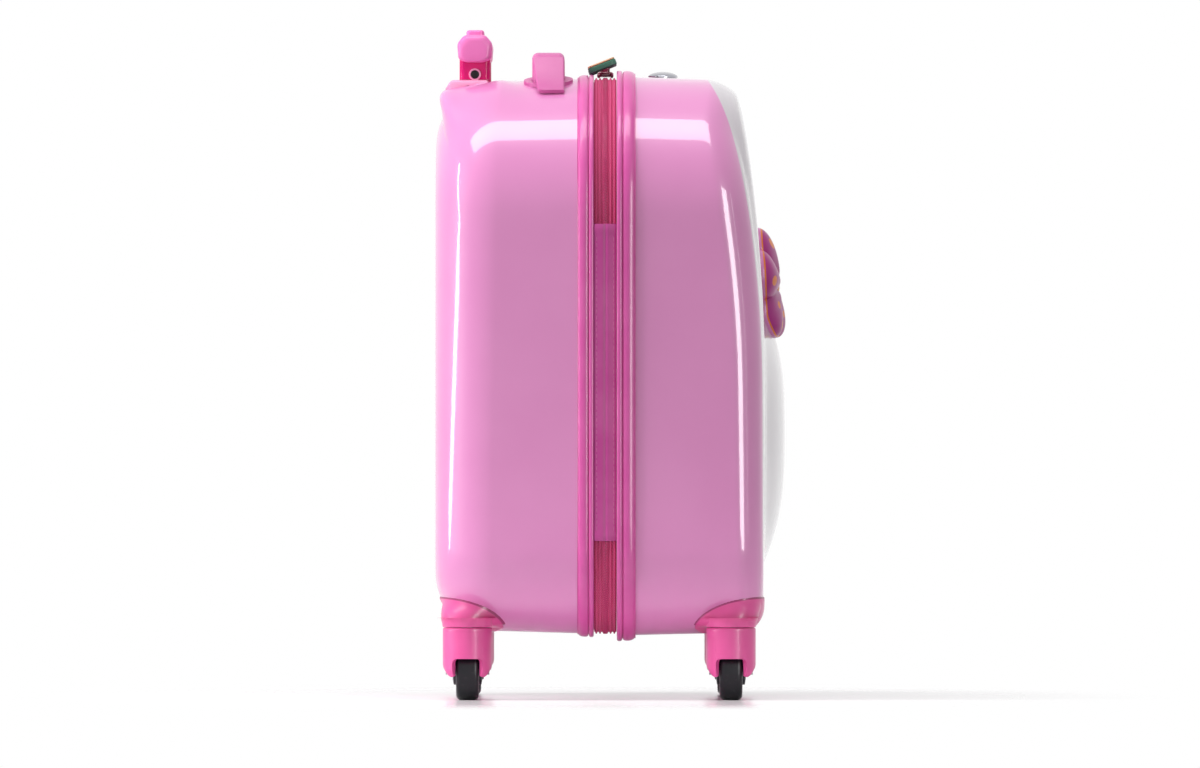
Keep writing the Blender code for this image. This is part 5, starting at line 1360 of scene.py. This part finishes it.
class SUITCASE_OT_carry(Suitcase, bpy.types.Operator):
    """Make the arched carry handle and its plates"""

    bl_idname = "suitcase.carry"
    bl_label = "Carry handle"

    def make(self, sizes, colours):
        """A rounded rectangle carried up one foot, over two quarter bends and down the other."""
        finish = moulded("carry handle", colours.handle, 0.38, grain=1100.0, depth=0.00004)
        low, high = corners("carry_handle")
        middle_x, half_x = (low[0] + high[0]) / 2, (high[0] - low[0]) / 2
        thick, bend, rounding = 0.0085, 0.013, 0.0041
        span, top = high[1] - thick / 2, high[2] - thick / 2
        angle = np.radians(np.linspace(180, 90, 15))
        left = np.stack((-span + bend + bend * np.cos(angle), top - bend + bend * np.sin(angle),
                         np.cos(angle), np.sin(angle)), 1)
        left = np.concatenate(([(-span, low[2], -1, 0)], left))
        run = np.linspace(-span + bend, span - bend, 31)[1:-1]
        bar = np.stack(np.broadcast_arrays(run, top, 0, 1), 1)
        y, z, normal_y, normal_z = np.concatenate((left, bar, left[::-1] * (-1, 1, -1, 1))).T
        section, _ = rounded_rectangle(half_x, thick / 2, rounding, 8)
        rows = swept(xyz(middle_x, y, z), section, xyz(0, normal_y, normal_z))
        Build().grid(capped(rows)).piece("carry_arch", finish, "carry_handle", "handle",
                                         ("carry_handle",), sharp=50.0)
        for place, side in (("near", -1), ("far", 1)):
            merged_copy(f"carry_plate_{place}", f"carry_base_{place}", finish, "rear_case",
                        bevel=0.0006, segments=3)
            Build().grid(self.cover(side, high[0], high[2])).piece(
                f"carry_cover_{place}", finish, "carry_handle", "handle", sharp=50.0)

    def cover(self, side, x, top):
        """The strap's end: it leaves the arch, narrows and hooks down over the plate's edge."""
        path = ((0.0806, -0.0040), (0.0850, -0.0088), (0.0905, -0.0150), (0.0955, -0.0203),
                (0.1000, -0.0243), (0.1050, -0.0282))
        line = np.stack([np.convolve(np.pad(axis, 2, mode="edge"), np.ones(5) / 5, "valid")
                         for axis in resampled(path, 31).T], 1)
        ahead_y, ahead_z = steps_ahead(line).T
        fade = np.linspace(0, 1, len(line))
        half = 0.0113 - 0.0022 * fade - 0.0016 * np.clip((fade - 0.9) / 0.1, 0, 1) ** 2
        sections = np.array([rounded_rectangle(width, 0.0016, 0.0014, 6)[0] - (width, 0)
                             for width in half])
        return capped(swept(xyz(x, side * line[:, 0], top + line[:, 1]), sections,
                            xyz(0, -side * ahead_z, ahead_y)))


class SUITCASE_OT_pulls(Suitcase, bpy.types.Operator):
    """Make the zip sliders and their soft layered pulls"""

    bl_idname = "suitcase.pulls"
    bl_label = "Sliders and pulls"

    def make(self, sizes, colours):
        enamel = moulded("slider", colours.slider, 0.18, coat=0.8, depth=0.00001)
        tilt, start, half_width, corner = math.radians(21.5), 0.0190, 0.01025, 0.0042
        turn = np.array(((math.cos(tilt), 0, -math.sin(tilt)), (0, 1, 0),
                         (math.sin(tilt), 0, math.cos(tilt))))
        for place, side in (("near", -1), ("far", 1)):
            self.slider(place, side, enamel)
            low, high = corners(f"zip_pull_{place}")
            near, far = sorted((side * start, side * max(abs(low[1]), abs(high[1]))))
            for layer, hue, bottom, top, inset, node in (
                    ("rind", colours.pull, -0.0028, 0.0014, 0.0, (f"zip_pull_{place}",)),
                    ("top", colours.cream, 0.00142, 0.0028, 0.0003, ())):
                shape = rounded_rectangle(half_width - inset, (far - near) / 2 - inset, corner, 8)
                rows = (prism(shape, bottom, top, 0.0009) + (0, (near + far) / 2, 0)) @ turn.T
                rows += (SPLIT_X - 0.00225, 0, SHELL_TOP + 0.0083)
                finish = moulded(f"pull {layer} {place}", hue, 0.5, grain=900.0, depth=0.00005)
                Build().grid(rows).piece(f"pull_{layer}_{place}", finish, f"zip_pull_{place}",
                                         "pull", node, sharp=50.0)
            Build().grid(self.loop(side)).piece(f"pull_wire_{place}", enamel,
                                                f"zip_pull_{place}", "slider")

    def slider(self, place, side, finish):
        """A rounded body that tapers to one end, two side rails and an arched bridge."""
        low, high = corners(f"zip_slider_{place}")
        middle_x, middle_y, _ = (low + high) / 2
        base, half_y = low[2], (high[1] - low[1]) / 2
        half_x, thick, taper, rail_x, rail_half = 0.0058, 0.0034, 0.16, 0.0046, 0.0009
        points, normals = rounded_rectangle(half_x, half_y, 0.0026, 8)
        points[:, 0] *= 1 - taper * np.clip(side * points[:, 1] / half_y, 0, 1)
        build = Build().grid(prism((points, normals), base, base + thick, 0.0013, 5, 0.0004)
                             + (middle_x, middle_y, 0))
        rail = prism(rounded_rectangle(rail_half, half_y * 0.86, 0.0008, 5), base - 0.0006,
                     base + 0.0012, 0.0003, 3)
        for x in (-rail_x, rail_x):
            build.grid(rail + (middle_x + x, middle_y, 0))
        turn = np.linspace(0, math.pi, 25)
        line = xyz(middle_x, middle_y + 0.0040 * np.cos(turn),
                   base + 0.0026 + (high[2] - base - 0.0032) * np.sin(turn) ** 0.6)
        _, ahead_y, ahead_z = steps_ahead(line).T
        bridge = swept(line, rounded_rectangle(0.0020, 0.0006, 0.0005, 4)[0],
                       xyz(0, -ahead_z, ahead_y))
        build.grid(capped(bridge)).piece(f"slider_body_{place}", finish, f"zip_slider_{place}",
                                         "slider", (f"zip_slider_{place}",), sharp=45.0)

    def loop(self, side):
        """A round wire from the pull, through the slider's bridge and back."""
        pin_z = SHELL_TOP + 0.0053
        start, end, half, rise, radius = 0.0105, 0.0215, 0.0027, 0.0016, 0.00062
        path = [(-half, end, rise), (-half, start + 0.001, 0), (-half * 0.8, start, 0),
                (half * 0.8, start, 0), (half, start + 0.001, 0), (half, end, rise)]
        line = resampled(np.array(path) * (1, side, 1) + (SPLIT_X, 0, pin_z), 41)
        ahead = steps_ahead(line)
        up = (0.0, 0.0, 1.0) - ahead * ahead[:, 2:]
        up /= np.linalg.norm(up, axis=1, keepdims=True)
        return capped(swept(line, oval(radius, radius, 12), up, np.cross(ahead, up)))


class SUITCASE_OT_inside(Suitcase, bpy.types.Operator):
    """Make the linings, their piping, the lid pocket and the packing straps"""

    bl_idname = "suitcase.inside"
    bl_label = "Inside"

    def make(self, sizes, colours):
        fabric = cloth("lining", colours.lining)
        trim = moulded("lining piping", lighter(colours.rim, -0.1), 0.6)
        ring = outline(headroom=0.015, low_radius=0.095)
        for node, mouth_x, outward, body, oversize in (
                ("rear_lining", REAR_MOUTH_X, -1, "rear_case", 0.0),
                ("front_lining", FRONT_MOUTH_X, 1, "lid", LID_OVERSIZE)):
            face = level(corners(node)[outward > 0][0])
            grow = oversize - (SHELL_WALL + 0.0008)
            outer, inner = (bowl(mouth_x, face, level(0.016), grow, -thick, ring, 8)
                            for thick in (0.0, 0.0012))
            lining = Build().grid(np.concatenate((outer, inner[::-1])), loop_rows=True).piece(
                f"{node}_cloth", fabric, body, "lining", (node,), sharp=60.0)
            border = Build().grid(self.border(mouth_x, outward, grow, ring), loop_rows=True).piece(
                f"{node}_border", fabric, body, "lining", sharp=60.0)
            piping = Build().grid(self.piping(mouth_x, outward, grow, ring), loop_rows=True).piece(
                f"{node}_piping", trim, body, "lining", sharp=60.0)
        self.pocket(colours)
        self.straps(colours)

    def border(self, mouth_x, outward, grow, ring):
        """A flat cloth band from the shell's wall to the lining's mouth."""
        rings = []
        for depth, pair in ((0.0010, (0, 1)), (0.0022, (1, 0))):
            for inside in pair:
                y, z, normal_y, normal_z = ring if inside else outline()
                out = grow - 0.0006 * inside
                rings.append(xyz(mouth_x + outward * depth, y + normal_y * out, z + normal_z * out))
        return np.array(rings)

    def piping(self, mouth_x, outward, grow, ring):
        """A round cord sewn along the lining's mouth."""
        return along_outline(oval(0.0013, 0.0013, 12) + (0.0022, -0.0022), mouth_x, outward, grow,
                             ring)

    def pocket(self, colours):
        """Net pocket: a thin rounded sheet with a round hem."""
        low, high = corners("lid_pocket")
        middle = (low + high) / 2
        seam, corner, half_thick = 0.002, 0.020, 0.0006
        shape = rounded_rectangle(high[1] - seam, (high[2] - low[2]) / 2 - seam, corner, 8)
        recipe = Recipe("pocket net", colours.lining, 0.8, Sheen_Weight=0.3)
        _, y, z = recipe.axes()
        pitch = 0.0032
        first = ((y + z) * (math.pi / pitch)).sine().size()
        second = ((y - z) * (math.pi / pitch)).sine().size()
        shaded_hole = first.lower(second).rise(0.30, 0.42)
        # Painted shade: the net's holes are darkened towards black, for the shadow seen through
        # them.
        recipe.set("Base Color", recipe.tones(shaded_hole, lighter(colours.rim, 0.2), 0.0, -0.5))
        recipe.bump(1 - shaded_hole, 0.0003)
        sheet = aim(prism(shape, -half_thick, half_thick, 0.0004, 2), "yzx", middle)
        net = Build().grid(sheet).piece("pocket_net", recipe.material, "lid", "lining",
                                        ("lid_pocket",))
        points, normals = shape
        radius = 0.0016
        section = oval(radius, radius, 10)[:, ::-1] - (0, 0.6 * radius)
        rows = swept(xyz(middle[0] - 0.0002, points[:, 0], middle[2] + points[:, 1]), section,
                     xyz(0, *normals.T))
        trim = moulded("pocket hem", lighter(colours.rim, -0.1), 0.6)
        hem = Build().grid(rows, loop_rows=True).piece("pocket_hem", trim, "lid", "lining",
                                                       sharp=70.0)

    def straps(self, colours):
        """Webbing with thinner edges into a buckle of two rounded halves."""
        web = woven("webbing", lighter(colours.rim, 0.25), pitch=0.0016)
        for node in ("packing_strap_near", "packing_strap_far"):
            low, high = corners(node)
            middle, half = (low + high) / 2, (high - low) / 2
            across = np.linspace(-1, 1, 25)
            edge = half[0] * (1 - 0.25 * np.abs(across) ** 8)
            section = np.concatenate((np.stack((edge, across * half[2]), 1),
                                      np.stack((-edge, across * half[2]), 1)[::-1]))
            y = np.linspace(low[1], high[1], 40)
            rows = swept(xyz(middle[0], y, middle[2]), section, (0.0, 0.0, 1.0))
            spread = grid_spread(np.concatenate((y[:1], y, y[-1:])), path_length(section))
            Build().grid(capped(rows), spread=spread).piece(
                f"{node}_webbing", web, "rear_case", "webbing", (node,), sharp=60.0)
        low, high = corners("strap_buckle")
        middle, half = (low + high) / 2, (high - low) / 2
        build = Build()
        for shift, length, width, thick, corner, edge in (
                (-0.48, 0.52, 1.0, 1.0, 0.004, 0.0014), (0.60, 0.40, 0.86, 1.0, 0.004, 0.0014),
                (0.0, 0.50, 0.50, 0.6, 0.003, 0.001)):
            shape = rounded_rectangle(half[1] * length, half[2] * width, corner, 6)
            build.grid(aim(prism(shape, -half[0] * thick, half[0] * thick, edge), "yzx",
                           middle + (0, half[1] * shift, 0)))
        build.piece("buckle_halves", moulded("buckle", colours.dark, 0.4), "rear_case",
                    "charcoal", ("strap_buckle",))


class SUITCASE_OT_badge(Suitcase, bpy.types.Operator):
    """Make the plain metal plate on the lid's top"""

    bl_idname = "suitcase.badge"
    bl_label = "Plain plate"

    def make(self, sizes, colours):
        """A low dome, height (1 - distance squared) to the 0.6, sunk on the crowned top."""
        centre_x, half_x, half_y, height, sink = 0.0367, 0.0104, 0.0170, 0.0032, 0.0010
        share = np.concatenate(([1.0], 1 - np.linspace(0, 1, 20) ** 1.6))[:, None]
        x, y = oval(half_x, half_y, 72).T[:, None] * share
        rise = height * np.maximum(0, 1 - share ** 2) ** 0.6
        rise[0] = -sink
        top = FRONT_HIGH[2] - TOP_CROWN * (y / HALF_WIDTH) ** 2
        rows = xyz(centre_x + x, y, top + rise)
        Build().grid(capped(rows, both=False)).piece(
            "plain_plate", metal("plate metal", (0.42, 0.42, 0.46), 0.16, 0), "lid", "steel",
            sharp=50.0)


class SUITCASE_OT_stage(Suitcase, bpy.types.Operator):
    """Make the floor, the lights, the world and the camera"""

    bl_idname = "suitcase.stage"
    bl_label = "Stage"

    def make(self, sizes, colours):
        scene = bpy.context.scene
        scene.view_settings.view_transform = "Standard"
        self.floor()
        self.world(scene)
        for name, lamp in LAMPS.items():
            self.light(name, *lamp)
        camera = bpy.data.objects.new("camera", bpy.data.cameras.new("camera"))
        scene.collection.objects.link(camera)
        scene.camera = camera
        camera.location = ((PICTURE_MIDDLE[0] - ORIGIN_PIXEL[0]) * PIXEL, -sizes.camera_distance,
                           (ORIGIN_PIXEL[1] - PICTURE_MIDDLE[1]) * PIXEL)
        camera.rotation_euler = (math.pi / 2, 0, 0)
        camera.data.sensor_width = SENSOR
        camera.data.lens = SENSOR * sizes.camera_distance / (PICTURE_WIDTH * PIXEL)
        camera.data.clip_start, camera.data.clip_end = 0.1, 200.0

    def floor(self):
        """A pale, faintly mirroring floor that fades out round the case."""
        mesh = bpy.data.meshes.new("floor")
        reach = 0.9
        mesh.from_pydata([(-reach, -reach, 0), (reach, -reach, 0), (reach, reach, 0),
                          (-reach, reach, 0)], [], [(0, 1, 2, 3)])
        recipe = Recipe("floor", (0.95, 0.945, 0.95), 0.18, Specular_IOR_Level=0.25)
        x, y, _ = recipe.axes()
        recipe.set("Alpha", (x / 0.30).reach(y / 0.42).rise(1.35, 0.70))
        mesh.materials.append(recipe.material)
        floor = bpy.data.objects.new("floor", mesh)
        bpy.context.scene.collection.objects.link(floor)

    def world(self, scene):
        """White to the camera and in reflections, softer as a light."""
        world = scene.world or bpy.data.worlds.new("world")
        scene.world = world
        world.use_nodes = True
        world.node_tree.nodes.clear()
        nodes = Nodes(world.node_tree)
        camera, glossy, through = (nodes.add("ShaderNodeLightPath", output=label) for label in (
            "Is Camera Ray", "Is Glossy Ray", "Is Transmission Ray"))
        light = nodes.add("ShaderNodeBackground", {}, (1.0, 0.985, 0.99, 1.0), 0.26)
        white = nodes.add("ShaderNodeBackground", {}, (1.0, 1.0, 1.0, 1.0), 1.0)
        mix = nodes.add("ShaderNodeMixShader", {}, camera.higher(glossy).higher(through), light,
                        white)
        nodes.add("ShaderNodeOutputWorld", {}, mix)

    def light(self, name, place, target, size, power, roll, seen):
        data = bpy.data.lights.new(name, "AREA")
        data.shape = "RECTANGLE"
        data.size, data.size_y = size
        data.energy = power
        light = bpy.data.objects.new(name, data)
        bpy.context.scene.collection.objects.link(light)
        light.location = place
        turn = (Vector(place) - Vector(target)).to_track_quat("Z", "Y").to_matrix()
        light.rotation_euler = (turn @ Matrix.Rotation(math.radians(roll), 3, "Z")).to_euler()
        light.visible_camera = False
        light.visible_diffuse = seen != "glossy"
        light.visible_glossy = seen != "diffuse"


class SUITCASE_PT_panel(bpy.types.Panel):
    """The suitcase's pieces, sizes and colours"""

    bl_idname = "SUITCASE_PT_panel"
    bl_label = "Kids suitcase"
    bl_space_type = "VIEW_3D"
    bl_region_type = "UI"
    bl_category = "Suitcase"

    def draw(self, context):
        for group in (context.scene.suitcase_sizes, context.scene.suitcase_colours):
            for name in group.__annotations__:
                self.layout.prop(group, name)
        for operator in OPERATORS:
            self.layout.operator(operator.bl_idname)


OPERATORS = (SUITCASE_OT_shells, SUITCASE_OT_flower, SUITCASE_OT_rims, SUITCASE_OT_zip,
             SUITCASE_OT_hinge, SUITCASE_OT_casters, SUITCASE_OT_trolley, SUITCASE_OT_carry,
             SUITCASE_OT_pulls, SUITCASE_OT_inside, SUITCASE_OT_badge, SUITCASE_OT_stage)
CLASSES = (CaseSizes, CaseColours, *OPERATORS, SUITCASE_PT_panel)


def register():
    for item in CLASSES:
        bpy.utils.register_class(item)
    bpy.types.Scene.suitcase_sizes = PointerProperty(type=CaseSizes)
    bpy.types.Scene.suitcase_colours = PointerProperty(type=CaseColours)


def unregister():
    del bpy.types.Scene.suitcase_sizes, bpy.types.Scene.suitcase_colours
    for item in reversed(CLASSES):
        bpy.utils.unregister_class(item)


def main():
    register()
    for operator in OPERATORS:
        group, name = operator.bl_idname.split(".")
        getattr(getattr(bpy.ops, group), name)()


if __name__ == "__main__":
    main()
